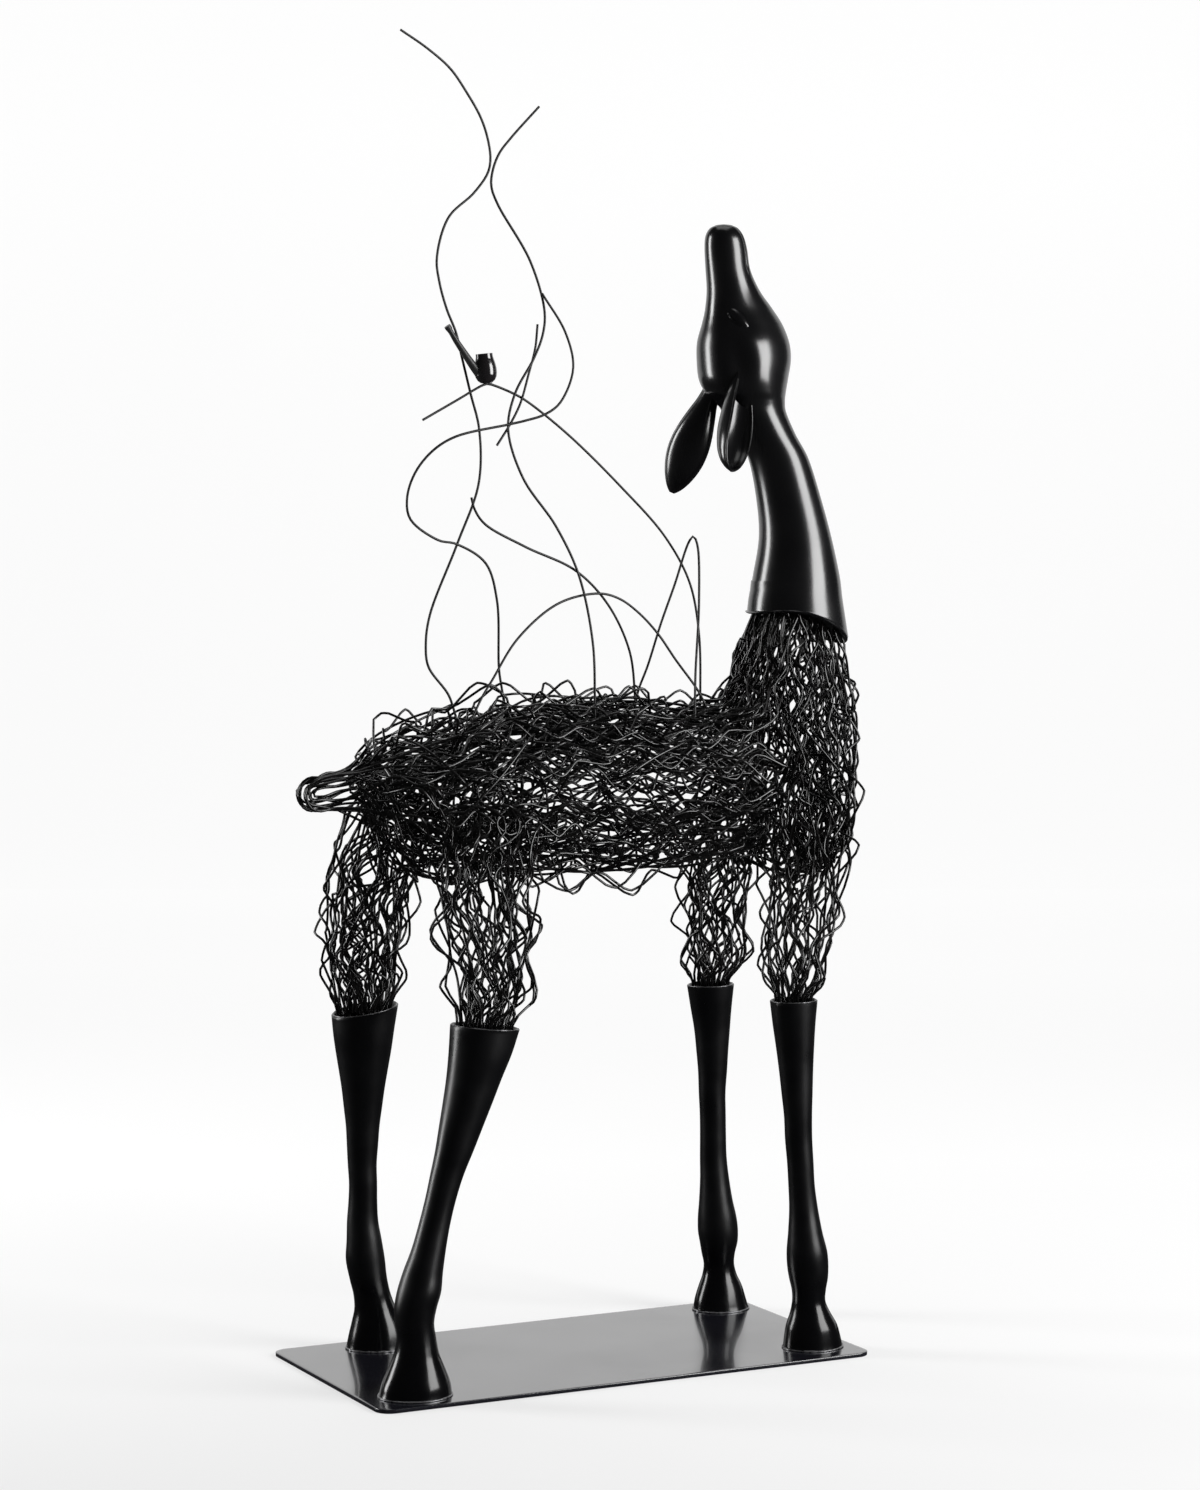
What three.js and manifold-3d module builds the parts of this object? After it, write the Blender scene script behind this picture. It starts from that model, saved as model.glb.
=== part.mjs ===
// A standing deer of blackened steel wire with cast lower legs, neck and head, on a flat base plate.
// Eight long bent wires rise from its back like smoke and carry a small tobacco pipe.
// Millimetres, +Z up, +X towards the deer's chest, +Y its left side.
// The origin is the centre of the plate's underside.
import * as THREE from 'three';
import { mergeVertices } from 'three/addons/utils/BufferGeometryUtils.js';
import Module from 'manifold-3d';

const wasm = await Module();
wasm.setup();

// Clearance left wherever two pieces touch
const GAP = 0.3;

// Base plate
const PLATE = { length: 680, width: 355, thickness: 5, cornerRadius: 20, cornerSteps: 3 };

// The deer's own middle plane lies a little to the left of the plate's centre line
const MID_Y = 7;

// Lower legs: a hollow cup at the top takes the ends of the upper leg's wires
const LEG_SIDES = 12;
const CUP = { wall: 4, depth: 9, taper: 2 };
// Half-widths up a leg: [height, half-width, breadth over depth]
const FRONT_LEG_SHAPE = [
  [5.3, 39, 0.86], [22, 37, 0.86], [40, 30, 0.88], [66, 21, 0.95], [92, 24.5, 0.98], [112, 27, 0.98],
  [132, 25.5, 0.98], [160, 20.5, 0.96], [205, 17.5, 0.96], [262, 17, 0.96], [330, 19.5, 0.96],
  [395, 24.5, 0.98],
];
const HIND_LEG_SHAPE = [
  [5.3, 45, 0.86], [22, 42.5, 0.86], [40, 34, 0.88], [66, 24.5, 0.95], [92, 24, 0.98], [116, 26.5, 0.98],
  [138, 24.5, 0.98], [168, 20, 0.96], [205, 18, 0.96], [248, 18, 0.96], [300, 23, 0.96], [360, 31, 0.98],
];
// Each leg: its centre line as [height, x, y], its rim,
// and the wires above it as [height, x, y, depth, breadth]
const LEGS = {
  hind_right: {
    shape: HIND_LEG_SHAPE,
    line: [
      [5, -273, -124], [66, -270, -123], [94, -272, -122], [124, -267, -121], [240, -235.5, -118],
      [445, -173, -112],
    ],
    rim: { height: 445, halfWidth: 42.5, slope: -0.09 },
    wires: [
      [473, -164, -108, 40, 42], [530, -163, -99, 57, 48], [585, -164, -89, 70, 50],
      [640, -160, -80, 70, 46],
    ],
  },
  hind_left: {
    shape: HIND_LEG_SHAPE,
    line: [
      [5, -211, 134], [50, -212, 134], [94, -223, 133], [140, -230, 132], [240, -233, 130],
      [442, -232, 122],
    ],
    rim: { height: 442, halfWidth: 42.5, slope: 0.17 },
    wires: [
      [472, -235, 118, 46, 44], [530, -236, 110, 54, 48], [585, -232, 101, 59, 50],
      [640, -226, 90, 59, 46],
    ],
  },
  front_right: {
    shape: FRONT_LEG_SHAPE,
    line: [
      [5, 287, -116], [66, 281, -116], [124, 279, -115], [214, 271, -114], [330, 265, -112],
      [452, 262, -108],
    ],
    rim: { height: 451, halfWidth: 30.5, slope: 0.02 },
    wires: [
      [478, 267, -106, 36, 38], [510, 270, -102, 46, 44], [560, 279, -92, 52, 46],
      [610, 290, -84, 54, 44],
    ],
  },
  front_left: {
    shape: FRONT_LEG_SHAPE,
    line: [
      [5, 290, 134], [66, 287, 134], [124, 284, 133], [214, 277, 132], [330, 274, 129],
      [446, 268, 124],
    ],
    rim: { height: 445, halfWidth: 31.5, slope: 0.03 },
    wires: [
      [472, 270, 120, 35, 38], [510, 268, 114, 43, 44], [560, 260, 106, 50, 46],
      [610, 264, 97, 52, 44],
    ],
  },
};

// Neck and head, cut by level sections:
// [height, x of the nape or forehead, x of the throat, half-breadth, taper to the throat]
const NECK_AND_HEAD = [
  [960, 267, 391, 59, 0], [991, 273, 387, 54.5, 0], [1041, 281, 375, 47.5, 0],
  [1091, 276, 360, 42.5, 0], [1141, 264, 342, 39.5, 0], [1172, 246, 323, 39, 0.02],
  [1200, 227, 309, 41, 0.05], [1214, 216, 307, 44, 0.08], [1226, 202, 308, 49, 0.1],
  [1243, 193, 311, 53.5, 0.12], [1268, 190, 315, 56, 0.12], [1290, 190, 313, 53.5, 0.12],
  [1313, 195, 304, 45, 0.12], [1334, 199, 289, 37, 0.1], [1356, 201, 271, 31.5, 0.08],
  [1382, 199, 257, 28.5, 0.04],
  [1408, 197, 252, 27, 0], [1424, 197, 247, 25, 0], [1434, 203, 240, 18.5, 0],
  [1439.5, 213, 229, 8.5, 0],
];
const HEAD_SIDES = 18;
// The neck is cut off on a slant, higher at the nape and scooped up at the sides.
// Its mouth is hollow.
const NECK_CUT = { x: 330, height: 916, slope: -0.38, scoop: 20, halfDepth: 65.5, halfBreadth: 63 };
const NECK_MOUTH = { wall: 5, depth: 44, taper: 6, overcut: 20 };

// Ears hang back from the nape, each a hollow leaf with the sections
// [along, half-width, depth of the back, depth of the hollow]
const EAR_HOLLOW_WIDTH = 0.85;
const RIGHT_EAR = {
  root: [226, -30, 1243],
  tip: [188, -74, 1123],
  hollowFaces: [0.23, -0.97, 0],
  sections: [
    [0, 15, 9, -9], [0.12, 20, 11, -7], [0.25, 24, 13.5, 0], [0.42, 27.5, 15, 8], [0.6, 28.5, 14.5, 10],
    [0.78, 25, 12, 8], [0.92, 15, 8, 4.5], [1, 4, 3, 1],
  ],
};
const LEFT_EAR = {
  root: [224, 38, 1236],
  tip: [191, 90, 1099],
  hollowFaces: [0.62, 0.78, 0],
  sections: [
    [0, 9, 8, -9], [0.16, 11, 10, -9], [0.34, 18, 13.5, -3], [0.48, 23.5, 15.5, 8], [0.66, 25.5, 14.5, 10],
    [0.82, 20, 11.5, 7.5], [0.94, 11, 7, 4], [1, 3.5, 3, 1],
  ],
};
// Closed eyes: shallow almonds on both sides of the head
const EYE = { x: 222, height: 1317, reach: 41, length: 15, breadth: 7, bulge: 6, slant: 0.72 };

// Wire net: the crimped wires of the body are fused into nets of bent struts
const STRUT = { halfWidth: 4.6, halfThickness: 3.2, skin: 2 };
const NET_WANDER = 0.24;
// Barrel of the body from rump to shoulder: [along, x, top, bottom, half-breadth]
const TORSO = [
  [0, -268, 792, 690, 58], [0.09, -250, 814, 656, 100], [0.22, -208, 825, 622, 118],
  [0.48, -72, 845, 610, 122],
  [0.74, 84, 844, 614, 118], [1, 262, 834, 620, 104],
];
const TORSO_NET = { around: 13, along: 9, seed: 11, strands: 4 };
// Chest and lower neck:
// [along, height, back x, front x, half-breadth, share of the slant of the neck's cut]
const CHEST = [
  [0, 574, 240, 350, 62, 0], [0.13, 600, 210, 390, 104, 0], [0.28, 652, 207, 410, 120, 0],
  [0.43, 715, 216, 416, 120, 0], [0.57, 775, 230, 415, 110, 0], [0.71, 832, 247, 412, 91, 0.1],
  [0.857, 889, 274, 394, 61, 0.8], [1, 929, 280, 380, 48, 1],
];
const CHEST_NET = { around: 10, along: 7, seed: 5, strands: 2, calmEnd: true };
const UPPER_LEG_NET = { around: 5, along: 4, seed: 21, cupPlay: 3.5, floorPlay: 0.9 };
// Tail: a spindle of bent loops that flares out to the end of the barrel:
// [along, x, height, half-breadth, half-height]
const TAIL = [
  [0, -277.7, 741, 57, 50], [0.25, -291, 737, 29, 27], [0.5, -313, 729, 17, 19],
  [0.75, -338, 723, 14, 16],
  [1, -361, 722, 9, 11],
];
const TAIL_NET = { around: 5, along: 4, seed: 3 };
// Loose strands that cross the inside of the barrel and the chest
const STRAND = { radius: 3, sides: 3, bends: 2, wander: 60, step: 80, seed: 5 };

// Long bent wires on the back, hand-laid routes: [x, y, z]
const BACK_WIRE_RADIUS = 1.4;
const BACK_WIRE_SIDES = 5;
const BACK_WIRE_STEP = 32;
const FOOT_BELOW = 860;
const FOOT_CLEARANCE = 1.1;
const BACK_WIRES = {
  back_wire_1: [
    [-242, -24, 1653], [-205, -20, 1633], [-172, -15, 1611], [-149, -11, 1585], [-127, -5, 1556],
    [-115, 0, 1531],
    [-110, 2.6, 1506], [-113, 4, 1489], [-131, 5.9, 1464], [-166, 5.4, 1432], [-182, 4.5, 1382],
    [-179, 3.8, 1353],
    [-170, 2, 1320], [-158, 1.4, 1292], [-146, 10, 1262], [-125, 30, 1218], [-111, 35, 1174],
    [-110, 39, 1107],
    [-138, 43, 1031], [-174, 47, 942], [-179, 48, 905], [-175, 49, 878], [-147, 50, 842],
  ],
  back_wire_2: [
    [-32, 26, 1577], [-78, 12, 1534], [-97, 6, 1513], [-107, 3, 1491], [-109.5, 1, 1472],
    [-102, -2, 1450],
    [-60, -6.4, 1382], [-42, -9.9, 1321], [-45, -11.5, 1292], [-58, -13.1, 1262], [-85, -14.4, 1217],
    [-95, -15.7, 1173], [-76, -18.5, 1113], [-32, -21.8, 1053], [-2, -25.4, 992], [15, -29.9, 909],
    [18, -30, 842],
  ],
  back_wire_3: [
    [-47, -13.4, 1342], [-16, -16.4, 1294], [-7, -19.6, 1250], [-26, -21.7, 1207], [-47, -21.1, 1192],
    [-73, -20, 1184], [-95, -19, 1179], [-171, -20.7, 1162], [-201, -18.1, 1143], [-222, -15.4, 1116],
    [-230, -11.7, 1087], [-224, -7.3, 1062], [-183, 0.6, 1036], [-156, 4.4, 1031], [-114, 9.6, 1007],
    [-96, 15.6, 961], [-88, 26.9, 874], [-82, 30, 846],
  ],
  back_wire_4: [
    [-43, 8, 1305], [-48, 4.3, 1275], [-59, 0.2, 1243], [-74, -6.3, 1205], [-91, -12.4, 1179],
    [-110, -15, 1153],
  ],
  back_wire_5: [
    [-221, -40, 1182], [-170, -22, 1206], [-124, -5, 1227.5], [-117, -2.5, 1229.2],
    [-110, -2.5, 1228], [-79, -2, 1217],
    [-61, -0.9, 1208], [-2, 4.2, 1168], [75, 12.6, 1105], [144, 19.9, 1040], [182, 24.2, 981],
    [198, 28.5, 915],
    [203, 34, 842],
  ],
  back_wire_6: [
    [-161, -50, 1088], [-156, -48, 1074], [-140, -43, 1056], [-81, -34, 1028], [-2, -19, 997],
    [49, -8, 953],
    [83, 1, 895], [95, 10, 842],
  ],
  back_wire_7: [
    [-144, -42, 842], [-128, -39, 864], [-90, -32, 914], [-30, -24, 957], [29, -19.6, 969],
    [59, -18.5, 962],
    [88, -17.3, 943], [115, -16, 917], [141, -14.5, 884], [175, -14, 842],
  ],
  back_wire_8: [
    [109, 28, 842], [119, 20, 876], [134, 13, 929], [152, 10, 978], [170, 3, 1035], [175, 1, 1041],
    [180, 0, 1030],
    [175, -14, 959], [158, -36, 863], [151, -48, 824],
  ],
};

// Tobacco pipe: a turned bowl on a tapering stem, held on the bend of the fifth wire
const PIPE = {
  y: -2,
  bowlCentre: [-119.5, 1248],
  bowlTilt: -0.1,
  bowl: [
    [0, -18.5], [7, -18], [12, -13.5], [14, -6], [13.5, 3], [11.5, 11], [10.5, 16.5], [10.8, 18.5],
    [8.6, 18.5], [7.6, 12], [6.5, 0], [0, -5],
  ],
  bowlSides: 10,
  stem: [
    [-126, 1239, 5.4], [-138, 1253, 4.9], [-149, 1267.5, 4.2], [-159, 1281, 3.7], [-167, 1293, 3.4],
    [-171, 1299, 4.2],
  ],
  stemSides: 7,
};

// Finishes
function finish(color, roughness, metalness) {
  return new THREE.MeshStandardMaterial({ color, roughness, metalness });
}

const glossBlack = () => finish(0x08080a, 0.14, 0);
const satinBlack = () => finish(0x0c0c0e, 0.42, 0);
const wireBlack = () => finish(0x0d0d0f, 0.36, 0.2);
const plateBlack = () => finish(0x111114, 0.45, 0.2);

const vec = (x, y, z) => new THREE.Vector3(x, y, z);

// Repeatable random numbers from 0 to 1
function seeded(seed) {
  let state = seed * 7919 + 17;
  return () => {
    state = (state * 1103515245 + 12345) % 2147483648;
    return state / 2147483648;
  };
}

// Smooth track through rows of [key, value, value, ...]
function track(rows) {
  const keys = rows.map((row) => row[0]);
  const size = rows[0].length - 1;
  const curve = new THREE.CubicInterpolant(keys, rows.flatMap((row) => row.slice(1)), size);
  return (key) => Array.from(curve.evaluate(THREE.MathUtils.clamp(key, keys[0], keys[keys.length - 1])));
}

// Geometry from corner points and faces
function solidGeometry(points, faces) {
  const geometry = new THREE.BufferGeometry();
  const numbers = points.flatMap((p) => [p.x, p.y, p.z]);
  geometry.setAttribute('position', new THREE.Float32BufferAttribute(numbers, 3));
  geometry.setIndex(faces.flat());
  return geometry;
}

// Closed skin over a stack of rings, each ring anticlockwise seen from the last one's side
function skin(rings) {
  const sides = rings[0].length;
  const points = rings.flat();
  const faces = [];
  for (let level = 0; level < rings.length - 1; level += 1) {
    for (let i = 0; i < sides; i += 1) {
      const a = level * sides + i;
      const b = level * sides + ((i + 1) % sides);
      faces.push([a, b, b + sides], [a, b + sides, a + sides]);
    }
  }
  const middle = (ring) => ring.reduce((sum, p) => sum.add(p), vec(0, 0, 0)).divideScalar(sides);
  const first = points.push(middle(rings[0])) - 1;
  const last = points.push(middle(rings[rings.length - 1])) - 1;
  const top = (rings.length - 1) * sides;
  for (let i = 0; i < sides; i += 1) {
    const next = (i + 1) % sides;
    faces.push([first, next, i], [last, top + i, top + next]);
  }
  return solidGeometry(points, faces);
}

// Solid for joining and cutting, and back again
function toSolid(source) {
  let geometry = source.clone();
  geometry.deleteAttribute('normal');
  geometry.deleteAttribute('uv');
  geometry = mergeVertices(geometry, 1e-4);
  return new wasm.Manifold(new wasm.Mesh({
    numProp: 3,
    vertProperties: Float32Array.from(geometry.attributes.position.array),
    triVerts: Uint32Array.from(geometry.index.array),
  }));
}

function fromSolid(solid) {
  const mesh = solid.getMesh();
  const geometry = new THREE.BufferGeometry();
  geometry.setAttribute('position', new THREE.BufferAttribute(mesh.vertProperties, 3));
  geometry.setIndex(new THREE.BufferAttribute(mesh.triVerts, 1));
  return geometry;
}

function joined(geometries) {
  return geometries.map(toSolid).reduce((whole, piece) => whole.add(piece));
}

// Level oval ring, tilted by a slope along x
function ovalRing(sides, x, y, z, depth, breadth, slope = 0) {
  return Array.from({ length: sides }, (_, i) => {
    const angle = (i / sides) * 2 * Math.PI;
    const reach = depth * Math.cos(angle);
    return vec(x + reach, y + breadth * Math.sin(angle), z + slope * reach);
  });
}

// Base plate with rounded corners
function basePlate() {
  const { length, width, thickness, cornerRadius, cornerSteps } = PLATE;
  const x = length / 2 - cornerRadius;
  const y = width / 2 - cornerRadius;
  const outline = new THREE.Shape();
  outline.absarc(x, y, cornerRadius, 0, Math.PI / 2);
  outline.absarc(-x, y, cornerRadius, Math.PI / 2, Math.PI);
  outline.absarc(-x, -y, cornerRadius, Math.PI, 1.5 * Math.PI);
  outline.absarc(x, -y, cornerRadius, 1.5 * Math.PI, 2 * Math.PI);
  return new THREE.ExtrudeGeometry(outline, {
    depth: thickness,
    bevelEnabled: false,
    curveSegments: cornerSteps,
  });
}

// Lower leg: hoof, pastern, fetlock and shank, with a cup at the top for the wires
function lowerLeg({ shape, line, rim }) {
  const centre = track(line);
  const rings = shape.map(([height, halfWidth, ratio]) => {
    const [x, y] = centre(height);
    return ovalRing(LEG_SIDES, x, y, height, halfWidth, halfWidth * ratio);
  });
  const [x, y] = centre(rim.height);
  const inner = rim.halfWidth - CUP.wall;
  rings.push(ovalRing(LEG_SIDES, x, y, rim.height, rim.halfWidth, rim.halfWidth, rim.slope));
  rings.push(ovalRing(LEG_SIDES, x, y, rim.height, inner, inner, rim.slope));
  const floorHeight = rim.height - CUP.depth;
  const [floorX, floorY] = centre(floorHeight);
  const floorWidth = inner - CUP.taper;
  rings.push(ovalRing(LEG_SIDES, floorX, floorY, floorHeight, floorWidth, floorWidth, rim.slope));
  return skin(rings);
}

// Height of the neck's slanted, scooped cut over a point
function neckCutHeight(x, y) {
  const across = (y - MID_Y) / NECK_CUT.halfBreadth;
  return NECK_CUT.height + NECK_CUT.slope * (x - NECK_CUT.x) + NECK_CUT.scoop * across * across;
}

// Ring that follows the neck's cut, moved in by an inset and up by a lift
function neckCutRing(inset, lift) {
  const depth = NECK_CUT.halfDepth - inset;
  const ring = ovalRing(HEAD_SIDES, NECK_CUT.x, MID_Y, 0, depth, NECK_CUT.halfBreadth - inset);
  return ring.map((p) => vec(p.x, p.y, neckCutHeight(p.x, p.y) + lift));
}

// Level section through the neck or head, narrower towards the throat by a taper
function headRing([height, back, front, halfBreadth, taper]) {
  const depth = (front - back) / 2;
  return Array.from({ length: HEAD_SIDES }, (_, i) => {
    const angle = (i / HEAD_SIDES) * 2 * Math.PI;
    const narrowing = 1 - taper * Math.cos(angle);
    return vec(
      (front + back) / 2 + depth * Math.cos(angle),
      MID_Y + halfBreadth * narrowing * Math.sin(angle),
      height,
    );
  });
}

// Ear: crescent sections from a round root to a pointed tip
function ear({ root, tip, hollowFaces, sections }) {
  const start = vec(...root);
  const along = vec(...tip).sub(start);
  const length = along.length();
  const lengthwise = along.clone().normalize();
  const backward = vec(...hollowFaces).negate().projectOnPlane(lengthwise).normalize();
  const sideways = backward.clone().cross(lengthwise);
  const rings = sections.map(([t, halfWidth, back, hollow]) => {
    const at = start.clone().addScaledVector(lengthwise, t * length);
    const place = (angle, width, depth) => at.clone()
      .addScaledVector(sideways, width * Math.cos(angle))
      .addScaledVector(backward, depth * Math.sin(angle));
    const outer = [0, 1, 2, 3, 4].map((i) => place((i * Math.PI) / 4, halfWidth, back));
    const inner = [3, 2, 1].map((i) => place((i * Math.PI) / 4, halfWidth * EAR_HOLLOW_WIDTH, hollow));
    return [...outer, ...inner];
  });
  return skin(rings);
}

// Closed eye: an almond set on the side of the head
function eye(side) {
  const lid = new THREE.IcosahedronGeometry(1);
  lid.scale(EYE.breadth, EYE.bulge, EYE.length);
  lid.rotateY(-EYE.slant);
  lid.translate(EYE.x, MID_Y + side * EYE.reach, EYE.height);
  return lid;
}

// Head, neck and ears, cast as one, with the hollow mouth of the neck
function headAndNeck() {
  const rings = [neckCutRing(0, 0), ...NECK_AND_HEAD.map(headRing)];
  const hollow = skin([
    neckCutRing(NECK_MOUTH.wall, -NECK_MOUTH.overcut),
    neckCutRing(NECK_MOUTH.wall, 0),
    neckCutRing(NECK_MOUTH.wall + NECK_MOUTH.taper, NECK_MOUTH.depth),
  ]);
  const body = joined([skin(rings), ear(RIGHT_EAR), ear(LEFT_EAR), eye(-1), eye(1)]);
  return fromSolid(body.subtract(toSolid(hollow)));
}

// Solid of bent struts: nodes with an outward direction, and the open faces between the struts.
// Each strut is four-sided, with a ridge outside and inside and an edge along each face.
function strutSolid(nodes, faces) {
  const points = [];
  const ridge = (offset) => nodes.map(({ at, out }) => {
    const corner = at.clone().addScaledVector(out, offset);
    return points.push(corner) - 1;
  });
  const outer = ridge(STRUT.halfThickness);
  const inner = ridge(-STRUT.halfThickness);
  const triangles = [];
  for (const face of faces) {
    const corners = face.map((index, k) => {
      const node = nodes[index];
      const before = nodes[face[(k + face.length - 1) % face.length]].at;
      const after = nodes[face[(k + 1) % face.length]].at;
      const along = after.clone().sub(before).normalize();
      const inward = node.out.clone().cross(along).normalize();
      return points.push(node.at.clone().addScaledVector(inward, STRUT.halfWidth)) - 1;
    });
    face.forEach((a, k) => {
      const next = (k + 1) % face.length;
      const b = face[next];
      triangles.push([outer[a], outer[b], corners[next]], [outer[a], corners[next], corners[k]]);
      triangles.push([inner[b], inner[a], corners[k]], [inner[b], corners[k], corners[next]]);
    });
  }
  return solidGeometry(points, triangles);
}

// Diamond net over a tube-like surface:
// place(around, along) gives a point of it, and centre(along) the axis inside it.
function netNodes({ around, along, seed, calmEnd }, place, centre) {
  const random = seeded(seed);
  const nodes = [];
  for (let row = 0; row <= along; row += 1) {
    const calm = row === 0 || row === along || (calmEnd && row === along - 1);
    const wander = calm ? 0 : 2 * NET_WANDER;
    for (let i = 0; i < around; i += 1) {
      const shift = (row % 2) / 2 + (random() - 0.5) * wander;
      const rise = (random() - 0.5) * wander;
      const u = (i + shift) / around;
      const v = (row + rise) / along;
      const at = place(u, v);
      const out = at.clone().sub(centre(v)).normalize();
      nodes.push({ at, out });
    }
  }
  return nodes;
}

// Open faces of the diamond net, anticlockwise seen from outside
function netFaces({ around, along }) {
  const faces = [];
  const node = (row, i) => row * around + ((i + around) % around);
  const leftAbove = (row, i) => node(row + 1, row % 2 ? i : i - 1);
  const rightAbove = (row, i) => node(row + 1, row % 2 ? i + 1 : i);
  for (let i = 0; i < around; i += 1) {
    faces.push([node(0, i), node(0, i + 1), rightAbove(0, i)]);
    for (let row = 0; row < along - 1; row += 1) {
      faces.push([node(row, i), rightAbove(row, i), node(row + 2, i), leftAbove(row, i)]);
    }
    faces.push([node(along, i + 1), node(along, i), node(along - 1, along % 2 ? i + 1 : i)]);
  }
  const ring = Array.from({ length: around }, (_, i) => i);
  faces.push(ring.map((i) => node(0, -i)));
  faces.push(ring.map((i) => node(along, i)));
  return faces;
}

// Solid filled shape of a net's surface, a little proud of its struts, that trims the neighbouring nets
function envelope(place, centre, levels = 16, sides = 24) {
  const proud = STRUT.halfThickness + STRUT.skin;
  const rings = Array.from({ length: levels + 1 }, (_, k) => {
    const v = k / levels;
    const middle = centre(v);
    return Array.from({ length: sides }, (__, i) => {
      const point = place(i / sides, v);
      return point.addScaledVector(point.clone().sub(middle).normalize(), proud);
    });
  });
  const cap = (from, to, ring) => {
    const along = centre(from).sub(centre(to)).normalize().multiplyScalar(STRUT.halfWidth + GAP);
    return ring.map((point) => point.clone().add(along));
  };
  rings[0] = cap(0, 1 / levels, rings[0]);
  rings[levels] = cap(1, 1 - 1 / levels, rings[levels]);
  return toSolid(skin(rings));
}

// What is left of a net outside the solids that it runs into, without loose ends
function trimmed(net, envelopes) {
  const rest = envelopes.reduce((solid, shape) => solid.subtract(shape), net);
  const pieces = rest.decompose();
  const larger = (one, other) => (other.volume() > one.volume() ? other : one);
  return fromSolid(pieces.reduce(larger));
}

// Barrel of the body
const torsoTrack = track(TORSO);

function torsoCentre(v) {
  const [x, top, bottom] = torsoTrack(v);
  return vec(x, MID_Y, (top + bottom) / 2);
}

function torsoPlace(u, v) {
  const angle = u * 2 * Math.PI;
  const [x, top, bottom, breadth] = torsoTrack(v);
  const y = MID_Y + breadth * Math.cos(angle);
  return vec(x, y, (top + bottom) / 2 + ((top - bottom) / 2) * Math.sin(angle));
}

// Chest and lower neck
const chestTrack = track(CHEST);

function chestCentre(v) {
  const [height, back, front] = chestTrack(v);
  return vec((back + front) / 2, MID_Y, height);
}

function chestPlace(u, v) {
  const angle = u * 2 * Math.PI;
  const [height, back, front, breadth, slant] = chestTrack(v);
  const x = (back + front) / 2 + ((front - back) / 2) * Math.cos(angle);
  const y = MID_Y + breadth * Math.sin(angle);
  return vec(x, y, height + slant * (neckCutHeight(x, y) - NECK_CUT.height));
}

// Loose strands through the inside of a net, each from one node to the node far round on the next row
function strandedNet(nodes, net) {
  const { around, along, strands } = net;
  const random = seeded(STRAND.seed + strands);
  const wires = Array.from({ length: strands }, (_, k) => {
    const row = 1 + Math.floor((k / strands) * (along - 2));
    const start = Math.floor(random() * around);
    const from = nodes[row * around + start].at;
    const to = nodes[(row + 1) * around + ((start + Math.round(around / 2)) % around)].at;
    const bends = Array.from({ length: STRAND.bends + 2 }, (__, i) => {
      const loose = i === 0 || i > STRAND.bends ? 0 : STRAND.wander;
      const off = vec(random() - 0.5, random() - 0.5, random() - 0.5).multiplyScalar(loose);
      return from.clone().lerp(to, i / (STRAND.bends + 1)).add(off);
    });
    return bentWire(bends, STRAND.radius, STRAND.sides, STRAND.step);
  });
  return joined([strutSolid(nodes, netFaces(net)), ...wires]);
}

// Upper leg: net from inside the leg's cup up into the body
function upperLegNet({ line, rim, wires }, number) {
  const cupRadius = rim.halfWidth - CUP.wall - STRUT.halfThickness - UPPER_LEG_NET.cupPlay;
  const cupHeight = rim.height - CUP.depth + STRUT.halfWidth + UPPER_LEG_NET.floorPlay;
  const [cupX, cupY] = track(line)(rim.height);
  const section = track([[cupHeight, cupX, cupY, cupRadius, cupRadius], ...wires]);
  const top = wires[wires.length - 1][0];
  const centre = (v) => {
    const height = THREE.MathUtils.lerp(cupHeight, top, v);
    const [x, y] = section(height);
    return vec(x, y, height);
  };
  const place = (u, v) => {
    const angle = u * 2 * Math.PI;
    const height = THREE.MathUtils.lerp(cupHeight, top, v);
    const [x, y, depth, breadth] = section(height);
    const reach = depth * Math.cos(angle);
    return vec(x + reach, y + breadth * Math.sin(angle), height + (1 - v) * rim.slope * reach);
  };
  const net = { ...UPPER_LEG_NET, seed: UPPER_LEG_NET.seed + number };
  return toSolid(strutSolid(netNodes(net, place, centre), netFaces(net)));
}

// Tail
function tailNet() {
  const spindle = track(TAIL);
  const centre = (v) => {
    const [x, height] = spindle(v);
    return vec(x, MID_Y, height);
  };
  const place = (u, v) => {
    const angle = -u * 2 * Math.PI;
    const [x, height, breadth, tall] = spindle(v);
    return vec(x, MID_Y + breadth * Math.cos(angle), height + tall * Math.sin(angle));
  };
  return toSolid(strutSolid(netNodes(TAIL_NET, place, centre), netFaces(TAIL_NET)));
}

// Round bar bent along a smooth route
function bentWire(points, radius, sides, step) {
  const route = new THREE.CatmullRomCurve3(points, false, 'centripetal');
  const section = Array.from({ length: sides }, (_, i) => {
    const angle = (i / sides) * 2 * Math.PI;
    return new THREE.Vector2(radius * Math.cos(angle), radius * Math.sin(angle));
  });
  return new THREE.ExtrudeGeometry(new THREE.Shape(section), {
    steps: Math.round(route.getLength() / step),
    extrudePath: route,
    bevelEnabled: false,
  });
}

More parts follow.
